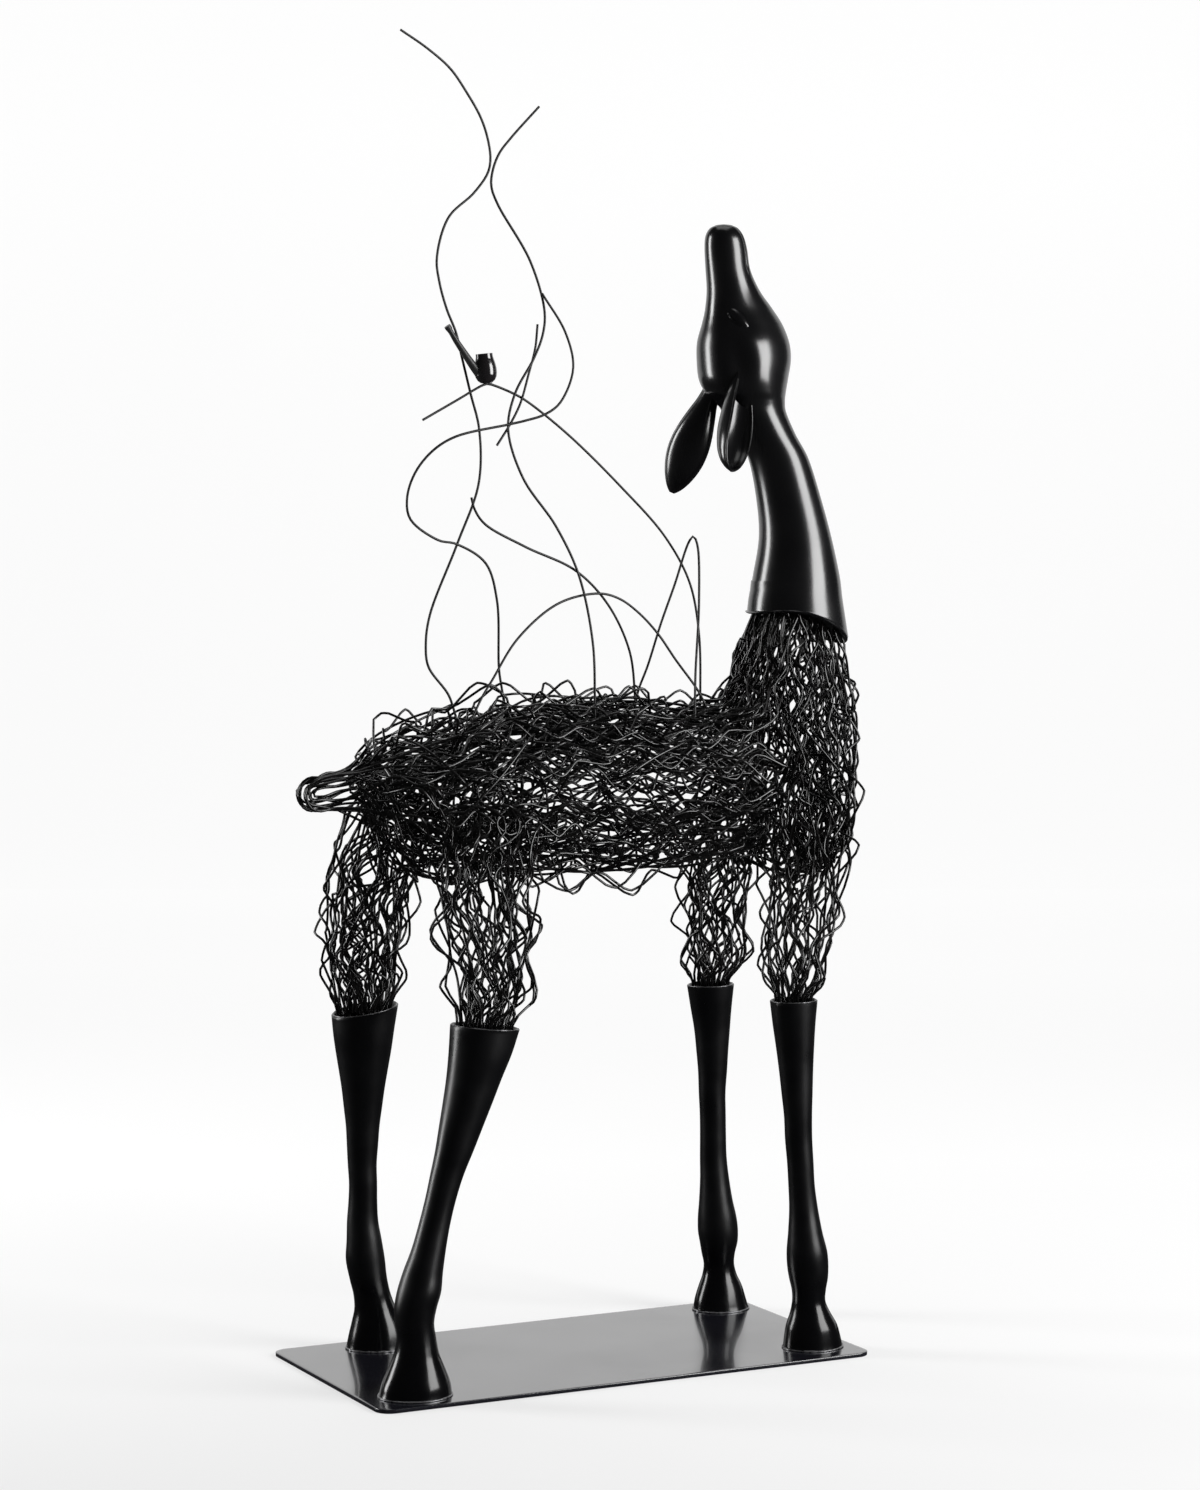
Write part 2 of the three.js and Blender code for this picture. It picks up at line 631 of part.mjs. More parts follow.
// Pipe: turned bowl with its hollow, and a stem that thins and ends in a small button
function pipe() {
  const profile = PIPE.bowl.map(([radius, height]) => new THREE.Vector2(radius, height));
  const bowl = new THREE.LatheGeometry(profile, PIPE.bowlSides);
  bowl.rotateX(Math.PI / 2);
  bowl.rotateY(PIPE.bowlTilt);
  bowl.translate(PIPE.bowlCentre[0], PIPE.y, PIPE.bowlCentre[1]);
  const rings = PIPE.stem.map(([x, z, radius], k) => {
    const before = PIPE.stem[Math.max(k - 1, 0)];
    const after = PIPE.stem[Math.min(k + 1, PIPE.stem.length - 1)];
    const along = vec(after[0] - before[0], 0, after[1] - before[1]).normalize();
    const across = vec(0, 1, 0).cross(along);
    return Array.from({ length: PIPE.stemSides }, (_, i) => {
      const angle = (i / PIPE.stemSides) * 2 * Math.PI;
      return vec(x, PIPE.y, z).addScaledVector(across, radius * Math.cos(angle))
        .add(vec(0, radius * Math.sin(angle), 0));
    });
  });
  return fromSolid(joined([bowl, skin(rings)]));
}

// Feet of the back wires stand on nodes of the torso's net, which move to meet them
function isFoot([, , height]) {
  return height < FOOT_BELOW;
}

function standOn(nodes, foot) {
  const level = (node) => Math.hypot(node.at.x - foot[0], node.at.y - foot[1]);
  const upper = nodes.filter((node) => node.out.z > 0.5 && !node.taken);
  const nearest = upper.reduce((best, node) => (level(node) < level(best) ? node : best));
  nearest.taken = true;
  nearest.at.x = foot[0];
  nearest.at.y = foot[1];
  const peak = nearest.at.clone().addScaledVector(nearest.out, STRUT.halfThickness);
  return peak.add(vec(0, 0, FOOT_CLEARANCE));
}

// Assembly
const deer = new THREE.Group();

function addPiece(name, geometry, material) {
  const mesh = new THREE.Mesh(geometry, material);
  mesh.name = name;
  deer.add(mesh);
}

addPiece('base_plate', basePlate(), plateBlack());
for (const [name, leg] of Object.entries(LEGS)) {
  addPiece(`leg_${name}`, lowerLeg(leg), satinBlack());
}
addPiece('head_and_neck', headAndNeck(), glossBlack());
const torsoNodes = netNodes(TORSO_NET, torsoPlace, torsoCentre);
const wireRoutes = Object.entries(BACK_WIRES).map(([name, points]) => [
  name,
  points.map((point) => (isFoot(point) ? standOn(torsoNodes, point) : vec(...point))),
]);
const torsoShape = envelope(torsoPlace, torsoCentre);
const chestShape = envelope(chestPlace, chestCentre);
const chestNodes = netNodes(CHEST_NET, chestPlace, chestCentre);
const chestNet = strandedNet(chestNodes, CHEST_NET);
const torsoNet = strandedNet(torsoNodes, TORSO_NET);
addPiece('chest_wires', fromSolid(chestNet), wireBlack());
addPiece('torso_wires', trimmed(torsoNet, [chestShape]), wireBlack());
Object.entries(LEGS).forEach(([name, leg], i) => {
  const wires = trimmed(upperLegNet(leg, i), [torsoShape, chestShape]);
  addPiece(`upper_leg_wires_${name}`, wires, wireBlack());
});
addPiece('tail_wires', fromSolid(tailNet()), wireBlack());
for (const [name, route] of wireRoutes) {
  addPiece(name, bentWire(route, BACK_WIRE_RADIUS, BACK_WIRE_SIDES, BACK_WIRE_STEP), wireBlack());
}
addPiece('pipe', pipe(), glossBlack());

export default deer;
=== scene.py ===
import math

import bpy
import numpy as np
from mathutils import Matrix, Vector


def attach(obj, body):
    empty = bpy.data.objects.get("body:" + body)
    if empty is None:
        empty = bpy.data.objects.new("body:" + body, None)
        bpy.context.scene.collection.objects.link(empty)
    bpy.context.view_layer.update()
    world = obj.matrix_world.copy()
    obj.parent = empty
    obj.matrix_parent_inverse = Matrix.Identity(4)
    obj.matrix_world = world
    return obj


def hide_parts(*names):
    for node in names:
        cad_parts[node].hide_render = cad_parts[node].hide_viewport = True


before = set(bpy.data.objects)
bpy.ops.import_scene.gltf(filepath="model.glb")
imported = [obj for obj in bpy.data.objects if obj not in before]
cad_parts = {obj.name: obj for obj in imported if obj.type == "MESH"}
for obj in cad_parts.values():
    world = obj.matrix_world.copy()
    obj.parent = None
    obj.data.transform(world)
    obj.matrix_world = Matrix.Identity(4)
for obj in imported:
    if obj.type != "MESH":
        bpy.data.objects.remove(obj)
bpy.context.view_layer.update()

# The deer's own middle plane lies a little to the left of the plate's centre line
MID_Y = 0.007

# Base plate
PLATE = {"length": 0.68, "width": 0.355, "thickness": 0.005, "corner": 0.02}
PLATE_EDGE = {"round": 0.0007, "face_inset": 0.004}

# Lower legs, from the hoof to the rim of the cup: [height, x, y, width seen from the front quarter]
LEGS = {
    "hind_right": {
        "rows": [
            [0.0053, -0.272, -0.124, 0.091], [0.02, -0.271, -0.124, 0.085], [0.038, -0.27, -0.123, 0.07],
            [0.055, -0.27, -0.123, 0.056], [0.072, -0.27, -0.123, 0.049], [0.094, -0.272, -0.122, 0.048],
            [0.112, -0.27, -0.121, 0.052], [0.128, -0.266, -0.121, 0.054], [0.153, -0.26, -0.12, 0.049],
            [0.181, -0.252, -0.12, 0.042], [0.21, -0.244, -0.119, 0.0385], [0.239, -0.2355, -0.118, 0.038],
            [0.268, -0.2265, -0.117, 0.041], [0.297, -0.216, -0.116, 0.047], [0.326, -0.2065, -0.115, 0.054],
            [0.355, -0.197, -0.114, 0.061], [0.384, -0.188, -0.113, 0.068], [0.413, -0.18, -0.113, 0.077],
        ],
        "rim": [0.445, -0.173, -0.112, 0.085, -0.09],
        "wires": [
            [0.473, -0.165, -0.108, 0.042, 0.04], [0.5, -0.161, -0.104, 0.05, 0.045],
            [0.53, -0.163, -0.099, 0.056, 0.048], [0.56, -0.161, -0.094, 0.064, 0.05],
            [0.61, -0.16, -0.084, 0.07, 0.052], [0.66, -0.152, -0.072, 0.078, 0.055],
            [0.72, -0.138, -0.058, 0.084, 0.055], [0.79, -0.115, -0.045, 0.08, 0.05],
        ],
    },
    "hind_left": {
        "rows": [
            [0.0053, -0.21, 0.134, 0.084], [0.02, -0.21, 0.134, 0.078], [0.038, -0.211, 0.134, 0.067],
            [0.055, -0.214, 0.134, 0.054], [0.072, -0.218, 0.134, 0.048], [0.095, -0.224, 0.133, 0.048],
            [0.12, -0.228, 0.133, 0.05], [0.145, -0.23, 0.132, 0.045], [0.17, -0.232, 0.132, 0.04],
            [0.194, -0.232, 0.131, 0.037], [0.219, -0.232, 0.13, 0.036], [0.243, -0.233, 0.13, 0.037],
            [0.268, -0.233, 0.129, 0.04], [0.292, -0.233, 0.128, 0.043], [0.317, -0.233, 0.127, 0.049],
            [0.341, -0.233, 0.126, 0.055], [0.366, -0.233, 0.125, 0.063], [0.39, -0.233, 0.124, 0.071],
            [0.415, -0.233, 0.123, 0.078],
        ],
        "rim": [0.442, -0.232, 0.122, 0.085, 0.17],
        "wires": [
            [0.472, -0.2345, 0.118, 0.041, 0.04], [0.5, -0.2365, 0.114, 0.047, 0.044],
            [0.53, -0.2365, 0.11, 0.051, 0.048], [0.585, -0.236, 0.1, 0.056, 0.052],
            [0.64, -0.226, 0.086, 0.064, 0.055], [0.7, -0.202, 0.07, 0.072, 0.055],
            [0.76, -0.17, 0.055, 0.074, 0.05], [0.8, -0.15, 0.045, 0.066, 0.045],
        ],
    },
    "front_right": {
        "rows": [
            [0.0053, 0.287, -0.116, 0.079], [0.02, 0.286, -0.116, 0.074], [0.034, 0.285, -0.116, 0.067],
            [0.05, 0.283, -0.116, 0.052], [0.064, 0.281, -0.116, 0.043], [0.079, 0.281, -0.116, 0.044],
            [0.094, 0.281, -0.115, 0.05], [0.109, 0.28, -0.115, 0.053], [0.124, 0.279, -0.115, 0.053],
            [0.154, 0.276, -0.115, 0.044], [0.184, 0.274, -0.114, 0.037], [0.214, 0.271, -0.114, 0.034],
            [0.244, 0.269, -0.114, 0.034], [0.274, 0.267, -0.113, 0.035], [0.303, 0.266, -0.113, 0.036],
            [0.333, 0.265, -0.112, 0.04], [0.363, 0.264, -0.111, 0.044], [0.392, 0.263, -0.11, 0.049],
            [0.422, 0.262, -0.109, 0.055],
        ],
        "rim": [0.451, 0.262, -0.108, 0.061, 0.02],
        "wires": [
            [0.478, 0.2675, -0.106, 0.034, 0.034], [0.504, 0.269, -0.103, 0.042, 0.04],
            [0.53, 0.2735, -0.099, 0.044, 0.044], [0.569, 0.282, -0.092, 0.047, 0.046],
            [0.61, 0.291, -0.084, 0.052, 0.047], [0.66, 0.299, -0.076, 0.059, 0.047],
            [0.72, 0.303, -0.066, 0.067, 0.046], [0.79, 0.308, -0.052, 0.064, 0.046],
        ],
    },
    "front_left": {
        "rows": [
            [0.0053, 0.29, 0.134, 0.077], [0.02, 0.289, 0.134, 0.07], [0.037, 0.289, 0.134, 0.059],
            [0.051, 0.288, 0.134, 0.047], [0.066, 0.287, 0.134, 0.041], [0.081, 0.286, 0.134, 0.045],
            [0.096, 0.286, 0.133, 0.051], [0.11, 0.285, 0.133, 0.054], [0.125, 0.284, 0.133, 0.053],
            [0.154, 0.281, 0.132, 0.045], [0.183, 0.279, 0.132, 0.039], [0.212, 0.277, 0.132, 0.036],
            [0.241, 0.276, 0.131, 0.035], [0.27, 0.275, 0.13, 0.035], [0.299, 0.274, 0.13, 0.036],
            [0.328, 0.274, 0.129, 0.039], [0.356, 0.273, 0.128, 0.043], [0.385, 0.272, 0.127, 0.048],
            [0.414, 0.27, 0.126, 0.055],
        ],
        "rim": [0.445, 0.268, 0.124, 0.063, 0.03],
        "wires": [
            [0.472, 0.27, 0.12, 0.033, 0.034], [0.49, 0.272, 0.117, 0.039, 0.04],
            [0.524, 0.2675, 0.112, 0.042, 0.044], [0.56, 0.261, 0.106, 0.041, 0.045],
            [0.602, 0.262, 0.098, 0.046, 0.047], [0.66, 0.27, 0.088, 0.059, 0.047],
            [0.72, 0.284, 0.076, 0.069, 0.046], [0.79, 0.294, 0.062, 0.066, 0.046],
        ],
    },
}
LEG_SIDES = 56
LEG_LEVELS = 110
# Hooves are narrower across than along, the shank is almost round
HOOF_TOP = 0.06
HOOF_RATIO = 0.86
HOOF_BEVEL = {"inset": 0.0015, "height": 0.0012}
CUP = {"wall": 0.0035, "depth": 0.0085, "round": 0.0006, "lip": 0.0005}
# Stretch below the rim over which the rings lean into the rim's slant
LEAN_REACH = 0.12
SEAM = {"angle": -0.62, "height": 0.0005, "width": 0.035}

# Weld beads where the hooves meet the plate and the wires meet the rims
WELD = {"radius": 0.0011, "lump": 0.0008, "lumps": 46}

# Neck and head: [height, x of the nape or forehead, x of the throat, half-breadth, taper to the throat]
HEAD = [
    [0.9, 0.261, 0.401, 0.065, 0], [0.93, 0.264, 0.396, 0.062, 0], [0.96, 0.267, 0.391, 0.059, 0],
    [0.991, 0.273, 0.387, 0.0545, 0], [1.041, 0.281, 0.375, 0.0475, 0], [1.091, 0.276, 0.36, 0.0425, 0],
    [1.141, 0.264, 0.342, 0.0395, 0], [1.172, 0.246, 0.323, 0.039, 0.02], [1.2, 0.227, 0.309, 0.041, 0.05],
    [1.214, 0.216, 0.307, 0.044, 0.08], [1.226, 0.202, 0.308, 0.049, 0.1],
    [1.243, 0.193, 0.311, 0.0535, 0.12], [1.268, 0.19, 0.315, 0.056, 0.12],
    [1.29, 0.19, 0.313, 0.0535, 0.12], [1.313, 0.195, 0.304, 0.045, 0.12],
    [1.334, 0.199, 0.289, 0.037, 0.1], [1.356, 0.201, 0.271, 0.0315, 0.08],
    [1.382, 0.199, 0.257, 0.0285, 0.04], [1.408, 0.197, 0.252, 0.027, 0], [1.424, 0.198, 0.247, 0.025, 0],
    [1.434, 0.203, 0.24, 0.019, 0], [1.4385, 0.211, 0.232, 0.0105, 0],
]
HEAD_TIP = [0.2215, 1.4397]
HEAD_SIDES = 168
HEAD_LEVELS = 230
NECK_CUT = {
    "x": 0.33, "height": 0.916, "slope": -0.38, "scoop": 0.02, "half_breadth": 0.063, "front_rise": 2.3,
}
NECK_MOUTH = {"wall": 0.0035, "depth": 0.044, "taper": 0.004, "round": 0.0007}
# Rings between the slanted cut and the first level ring, and that ring's height
NECK_BLEND = {"rings": 12, "height": 0.96}
# Hollow of the temple between the dome of the forehead and the cheek, on both sides
TEMPLE = {"height": 1.262, "reach": 0.034, "angle": 2.18, "spread": 0.3, "depth": 0.0065}
# Closed eyes
EYE = {"centre": [0.224, 1.3185], "along": [0.62, -0.78], "half_length": 0.0185, "half_width": 0.008}
EYE_BULGE = 0.0045
EYE_SOCKET = {"reach": 0.019, "depth": 0.003}
EYE_RIM = 0.001
# Line of the mouth, pressed in on both sides from the tip of the muzzle down to its end
MOUTH = {"angle": 1.0, "turn": 3.2, "width": 0.075, "depth": 0.0016, "end": 1.374, "fade": 0.012}

# Ears: leaves that hang back from the nape, [along, half-width, depth of the back, depth of the hollow]
RIGHT_EAR = {
    "root": [0.2305, -0.03, 1.243],
    "tip": [0.188, -0.072, 1.1245],
    "hollow_faces": [0.518, -0.855, 0],
    "bow": [0.01, -0.005, 0],
    "sections": [
        [0, 0.015, 0.014, 0.004], [0.07, 0.017, 0.016, 0.01], [0.14, 0.0195, 0.0195, 0.0155],
        [0.25, 0.0235, 0.024, 0.0205], [0.42, 0.0276, 0.0285, 0.0253], [0.58, 0.0288, 0.0296, 0.0264],
        [0.72, 0.0276, 0.0264, 0.0234], [0.84, 0.023, 0.0206, 0.0178], [0.93, 0.0158, 0.013, 0.0104],
        [0.98, 0.008, 0.0062, 0.004], [1, 0.003, 0.0025, 0.0003],
    ],
}
LEFT_EAR = {
    "root": [0.226, 0.036, 1.24],
    "tip": [0.191, 0.09, 1.099],
    "hollow_faces": [0.62, 0.78, 0],
    "bow": [0, 0, 0],
    "sections": [
        [0, 0.0125, 0.012, -0.012], [0.08, 0.011, 0.0105, -0.01], [0.18, 0.013, 0.011, -0.008],
        [0.3, 0.018, 0.013, -0.0035], [0.42, 0.0226, 0.015, 0.005], [0.55, 0.0256, 0.0155, 0.01],
        [0.68, 0.0252, 0.014, 0.0095], [0.8, 0.021, 0.0115, 0.0075], [0.9, 0.0145, 0.008, 0.0045],
        [0.97, 0.0075, 0.0048, 0.0018], [1, 0.003, 0.0025, 0.0003],
    ],
}
EAR_LEVELS = 60
EAR_POINTS = 20
EAR_BEND = 0.006
EAR_RIM = {"radius": 0.0015, "from": 0.08, "place": 0.975}
EAR_HOLLOW_WIDTH = 0.93
# Soft fold that runs down the middle of the hollow
EAR_FOLD = {"height": 0.0022, "centre": 0.25, "width": 0.16, "from": 0.4, "to": 0.9}

# Crimped wire of the body
WIRE = {"radius": 0.0017, "sides": 5, "period": 0.072, "height": 0.0133}
# Places along one flank of the crimp, from one corner to the next
FLANK = [0, 0.1, 0.24, 0.5, 0.76, 0.9]

# Barrel of the body from rump to shoulder: [along, x, top, bottom, half-breadth]
TORSO = [
    [-0.06, -0.298, 0.77, 0.712, 0.03], [0, -0.276, 0.798, 0.682, 0.064], [0.09, -0.25, 0.81, 0.65, 0.096],
    [0.22, -0.208, 0.82, 0.616, 0.112], [0.35, -0.15, 0.834, 0.606, 0.117],
    [0.48, -0.085, 0.844, 0.612, 0.118], [0.62, -0.005, 0.842, 0.615, 0.117],
    [0.74, 0.07, 0.839, 0.615, 0.115], [0.88, 0.165, 0.83, 0.617, 0.108], [1, 0.262, 0.826, 0.626, 0.1],
    [1.12, 0.32, 0.806, 0.64, 0.08],
]
TORSO_WIRES = 126
SHORT_TORSO_WIRES = 32
# Chest and lower neck: [along, height, back x, front x, half-breadth, share of the slant of the neck's cut]
CHEST = [
    [-0.04, 0.59, 0.262, 0.33, 0.05, 0], [0, 0.6, 0.246, 0.348, 0.07, 0],
    [0.13, 0.618, 0.226, 0.378, 0.096, 0], [0.28, 0.655, 0.218, 0.397, 0.111, 0],
    [0.43, 0.715, 0.224, 0.402, 0.112, 0], [0.57, 0.775, 0.234, 0.404, 0.104, 0],
    [0.71, 0.832, 0.238, 0.405, 0.088, 0.2], [0.857, 0.88, 0.252, 0.401, 0.07, 0.8],
    [1, 0.916, 0.268, 0.39, 0.0585, 1], [1.1, 0.938, 0.274, 0.385, 0.053, 1],
]
CHEST_WIRES = 98
SHOULDER_WIRES = 38
UPPER_LEG_WIRES = {"hind": 42, "front": 32}
LOOSE_ON_BACK = 16
LOOSE_UNDER_BELLY = 5
LOOSE_ON_CHEST = 12
LOOSE_ON_LEG = 8
STRAIGHT_ON_TORSO = 34
STRAIGHT_ON_CHEST = 18
# Wires' ends dip into the bundle, by a share of its depth, over a share of their length
TUCK = {"depth": 0.38, "reach": 0.09}
# Crimps of the loose wires, as [height, period]
LOOSE_CRIMPS = {"back": [0.0125, 0.066], "belly": [0.0165, 0.084], "chest": [0.0115, 0.064]}
# Turn from one wire to the next round a bundle, so that they spread evenly
GOLDEN_TURN = 0.618034

# Tail: hairpins of wire, upper line and lower line as [x, height], and their spread across
TAIL_UPPER = [
    [-0.13, 0.8], [-0.205, 0.783], [-0.262, 0.768], [-0.299, 0.754], [-0.326, 0.7475], [-0.349, 0.743],
]
TAIL_TIP = [[-0.36, 0.737], [-0.3635, 0.726], [-0.36, 0.713]]
TAIL_LOWER = [
    [-0.349, 0.706], [-0.326, 0.704], [-0.299, 0.703], [-0.262, 0.701], [-0.205, 0.685], [-0.14, 0.668],
]
TAIL_LOOPS = 13
TAIL_MIDDLE = 0.7265
TAIL_BREADTH = 0.017

# Long bent wires on the back: [x, y, height]
BACK_WIRE = {"radius": 0.0016, "sides": 8, "step": 0.006}
BACK_WIRES = {
    "back_wire_1": [
        [-0.242, -0.024, 1.6524], [-0.205, -0.02, 1.633], [-0.172, -0.015, 1.611], [-0.149, -0.011, 1.585],
        [-0.127, -0.005, 1.556], [-0.115, 0, 1.531], [-0.11, 0.0026, 1.506], [-0.113, 0.004, 1.489],
        [-0.131, 0.0059, 1.464], [-0.166, 0.0054, 1.432], [-0.182, 0.0045, 1.382], [-0.179, 0.0038, 1.353],
        [-0.17, 0.002, 1.32], [-0.158, 0.0014, 1.292], [-0.146, 0.01, 1.262], [-0.125, 0.03, 1.218],
        [-0.111, 0.035, 1.174], [-0.11, 0.039, 1.107], [-0.138, 0.043, 1.031], [-0.174, 0.047, 0.942],
        [-0.179, 0.048, 0.905], [-0.175, 0.049, 0.878], [-0.147, 0.05, 0.842], [-0.138, 0.048, 0.815],
    ],
    "back_wire_2": [
        [-0.032, 0.026, 1.577], [-0.078, 0.012, 1.534], [-0.097, 0.006, 1.513], [-0.107, 0.003, 1.491],
        [-0.1095, 0.001, 1.472], [-0.102, -0.002, 1.45], [-0.06, -0.0064, 1.382], [-0.042, -0.0099, 1.321],
        [-0.045, -0.0115, 1.292], [-0.058, -0.0131, 1.262], [-0.085, -0.0144, 1.217],
        [-0.095, -0.0157, 1.173], [-0.076, -0.0185, 1.113], [-0.032, -0.0218, 1.053],
        [-0.002, -0.0254, 0.992], [0.015, -0.0299, 0.909], [0.018, -0.03, 0.842], [0.018, -0.03, 0.812],
    ],
    "back_wire_3": [
        [-0.047, -0.0134, 1.342], [-0.016, -0.0164, 1.294], [-0.007, -0.0196, 1.25],
        [-0.026, -0.0217, 1.207], [-0.047, -0.0211, 1.192], [-0.073, -0.02, 1.184], [-0.095, -0.019, 1.179],
        [-0.171, -0.0207, 1.162], [-0.201, -0.0181, 1.143], [-0.222, -0.0154, 1.116],
        [-0.23, -0.0117, 1.087], [-0.224, -0.0073, 1.062], [-0.183, 0.0006, 1.036], [-0.156, 0.0044, 1.031],
        [-0.114, 0.0096, 1.007], [-0.096, 0.0156, 0.961], [-0.088, 0.0269, 0.874], [-0.082, 0.03, 0.846],
        [-0.076, 0.032, 0.815],
    ],
    "back_wire_4": [
        [-0.043, 0.008, 1.305], [-0.048, 0.0043, 1.275], [-0.059, 0.0002, 1.243], [-0.074, -0.0063, 1.205],
        [-0.091, -0.0124, 1.179], [-0.11, -0.015, 1.153],
    ],
    "back_wire_5": [
        [-0.221, -0.04, 1.182], [-0.17, -0.022, 1.206], [-0.124, -0.005, 1.2275], [-0.117, -0.0025, 1.2292],
        [-0.11, -0.0025, 1.228], [-0.079, -0.002, 1.217], [-0.061, -0.0009, 1.208], [-0.002, 0.0042, 1.168],
        [0.075, 0.0126, 1.105], [0.144, 0.0199, 1.04], [0.182, 0.0242, 0.981], [0.198, 0.0285, 0.915],
        [0.203, 0.034, 0.842], [0.203, 0.035, 0.812],
    ],
    "back_wire_6": [
        [-0.161, -0.05, 1.088], [-0.156, -0.048, 1.074], [-0.14, -0.043, 1.056], [-0.081, -0.034, 1.028],
        [-0.002, -0.019, 0.997], [0.049, -0.008, 0.953], [0.083, 0.001, 0.895], [0.095, 0.01, 0.842],
        [0.097, 0.012, 0.812],
    ],
    "back_wire_7": [
        [-0.16, -0.046, 0.815], [-0.144, -0.042, 0.842], [-0.128, -0.039, 0.864], [-0.09, -0.032, 0.914],
        [-0.03, -0.024, 0.957], [0.029, -0.0196, 0.969], [0.059, -0.0185, 0.962], [0.088, -0.0173, 0.943],
        [0.115, -0.016, 0.917], [0.141, -0.0145, 0.884], [0.175, -0.014, 0.842], [0.19, -0.013, 0.815],
    ],
    "back_wire_8": [
        [0.105, 0.03, 0.815], [0.109, 0.028, 0.842], [0.119, 0.02, 0.876], [0.134, 0.013, 0.929],
        [0.152, 0.01, 0.978], [0.17, 0.003, 1.035], [0.175, 0.001, 1.041], [0.18, 0, 1.03],
        [0.175, -0.014, 0.959], [0.158, -0.036, 0.863], [0.151, -0.048, 0.812],
    ],
}

# Tobacco pipe: turned bowl as [radius, height], and stem as [x, height, radius]
PIPE = {
    "y": -0.002,
    "centre": [-0.1195, 1.248],
    "tilt": 0.1,
    "bowl": [
        [0.0000, -0.0185], [0.0035, -0.0184], [0.0075, -0.0175], [0.011, -0.0145], [0.0132, -0.0105],
        [0.014, -0.0055], [0.0139, 0.0000], [0.013, 0.0055], [0.0117, 0.0105], [0.0107, 0.0145],
        [0.0106, 0.017], [0.0107, 0.0182], [0.0101, 0.0185], [0.009, 0.0185], [0.0085, 0.0178],
        [0.0076, 0.012], [0.0067, 0.001], [0.005, -0.004], [0.0000, -0.005],
    ],
    "stem": [
        [-0.1225, 1.235, 0.0062], [-0.129, 1.2425, 0.0058], [-0.138, 1.253, 0.005],
        [-0.149, 1.2675, 0.0042], [-0.159, 1.281, 0.0037], [-0.166, 1.2915, 0.0033],
        [-0.169, 1.296, 0.0042], [-0.1712, 1.299, 0.0042],
    ],
    "glue": [-0.1145, -0.0035, 1.2305],
}
PIPE_SIDES = 40

# Studio: its pale sheets, with the bend from floor to wall, and the light of the world
STUDIO = {
    "half_width": 9.0, "drop": 0.0002, "near": -7.0,
    "bend_start": 6.0, "bend": 2.5, "top": 9.0, "world": 0.04,
}
# Painted light of the studio sheets: their emission glow stands in for lamp light on floor and wall, as
# [distance behind the object, glow]
STUDIO_PAINTED_GLOW = [[-1.0, 0.535], [0.1, 0.645], [1.4, 0.755], [4.0, 0.835], [8.5, 0.872]]
SOFT_BOXES = {
    "top": {"place": (0.3, 0.5, 4.2), "target": (0.0, 0.2, 0.0), "size": (2.4, 2.4), "power": 30},
    "right": {"place": (2.02, -2.48, 1.5), "target": (0.1, 0.0, 1.0), "size": (1.8, 2.3), "power": 200},
    "left": {"place": (-2.4, 1.8, 1.4), "target": (0.0, 0.0, 1.0), "size": (0.8, 2.3), "power": 95},
}

# Camera, solved from the corners of the plate
CAMERA = {"place": [-1.9644, -3.9697, 1.0348], "lens": 85, "sensor": 36, "pitch": 3.317, "yaw": 26.795}


# Repeatable random numbers for one bundle
def seeded(number):
    return np.random.default_rng(number)


# Smooth track through rows of [key, value, value, ...]
def track(rows):
    table = np.array(rows, float)
    keys = table[:, 0]
    values = table[:, 1:]
    slopes = np.gradient(values, keys, axis=0)

    def at(key):
        key = np.clip(np.atleast_1d(key), keys[0], keys[-1])
        i = np.clip(np.searchsorted(keys, key, side="right") - 1, 0, len(keys) - 2)
        span = (keys[i + 1] - keys[i])[:, None]
        t = (key - keys[i])[:, None] / span
        start = values[i] * (2 * t**3 - 3 * t**2 + 1) + slopes[i] * span * (t**3 - 2 * t**2 + t)
        end = values[i + 1] * (3 * t**2 - 2 * t**3) + slopes[i + 1] * span * (t**3 - t**2)
        return start + end

    return at


# Smooth route through points, with even steps
def route(points, step):
    points = np.array(points, float)
    spans = np.sqrt(np.linalg.norm(np.diff(points, axis=0), axis=1))
    keys = np.concatenate([[0], np.cumsum(spans)])
    fine = track(np.column_stack([keys, points]))(np.linspace(0, keys[-1], 24 * len(points)))
    length = np.concatenate([[0], np.cumsum(np.linalg.norm(np.diff(fine, axis=0), axis=1))])
    places = np.linspace(0, length[-1], max(3, int(round(length[-1] / step)) + 1))
    return np.column_stack([np.interp(places, length, fine[:, k]) for k in range(3)])


def unit(vectors):
    return vectors / np.maximum(np.linalg.norm(vectors, axis=-1, keepdims=True), 1e-12)


# Directions square to a route that turn as little as they can
def carried(points):
    tangents = unit(np.gradient(points, axis=0))
    first = np.array([0.0, 0.0, 1.0]) if abs(tangents[0][2]) < 0.8 else np.array([0.0, 1.0, 0.0])
    carried_on = [first]
    for tangent in tangents:
        last = carried_on[-1]
        carried_on.append(unit(last - tangent * last.dot(tangent)))
    return np.array(carried_on[1:])


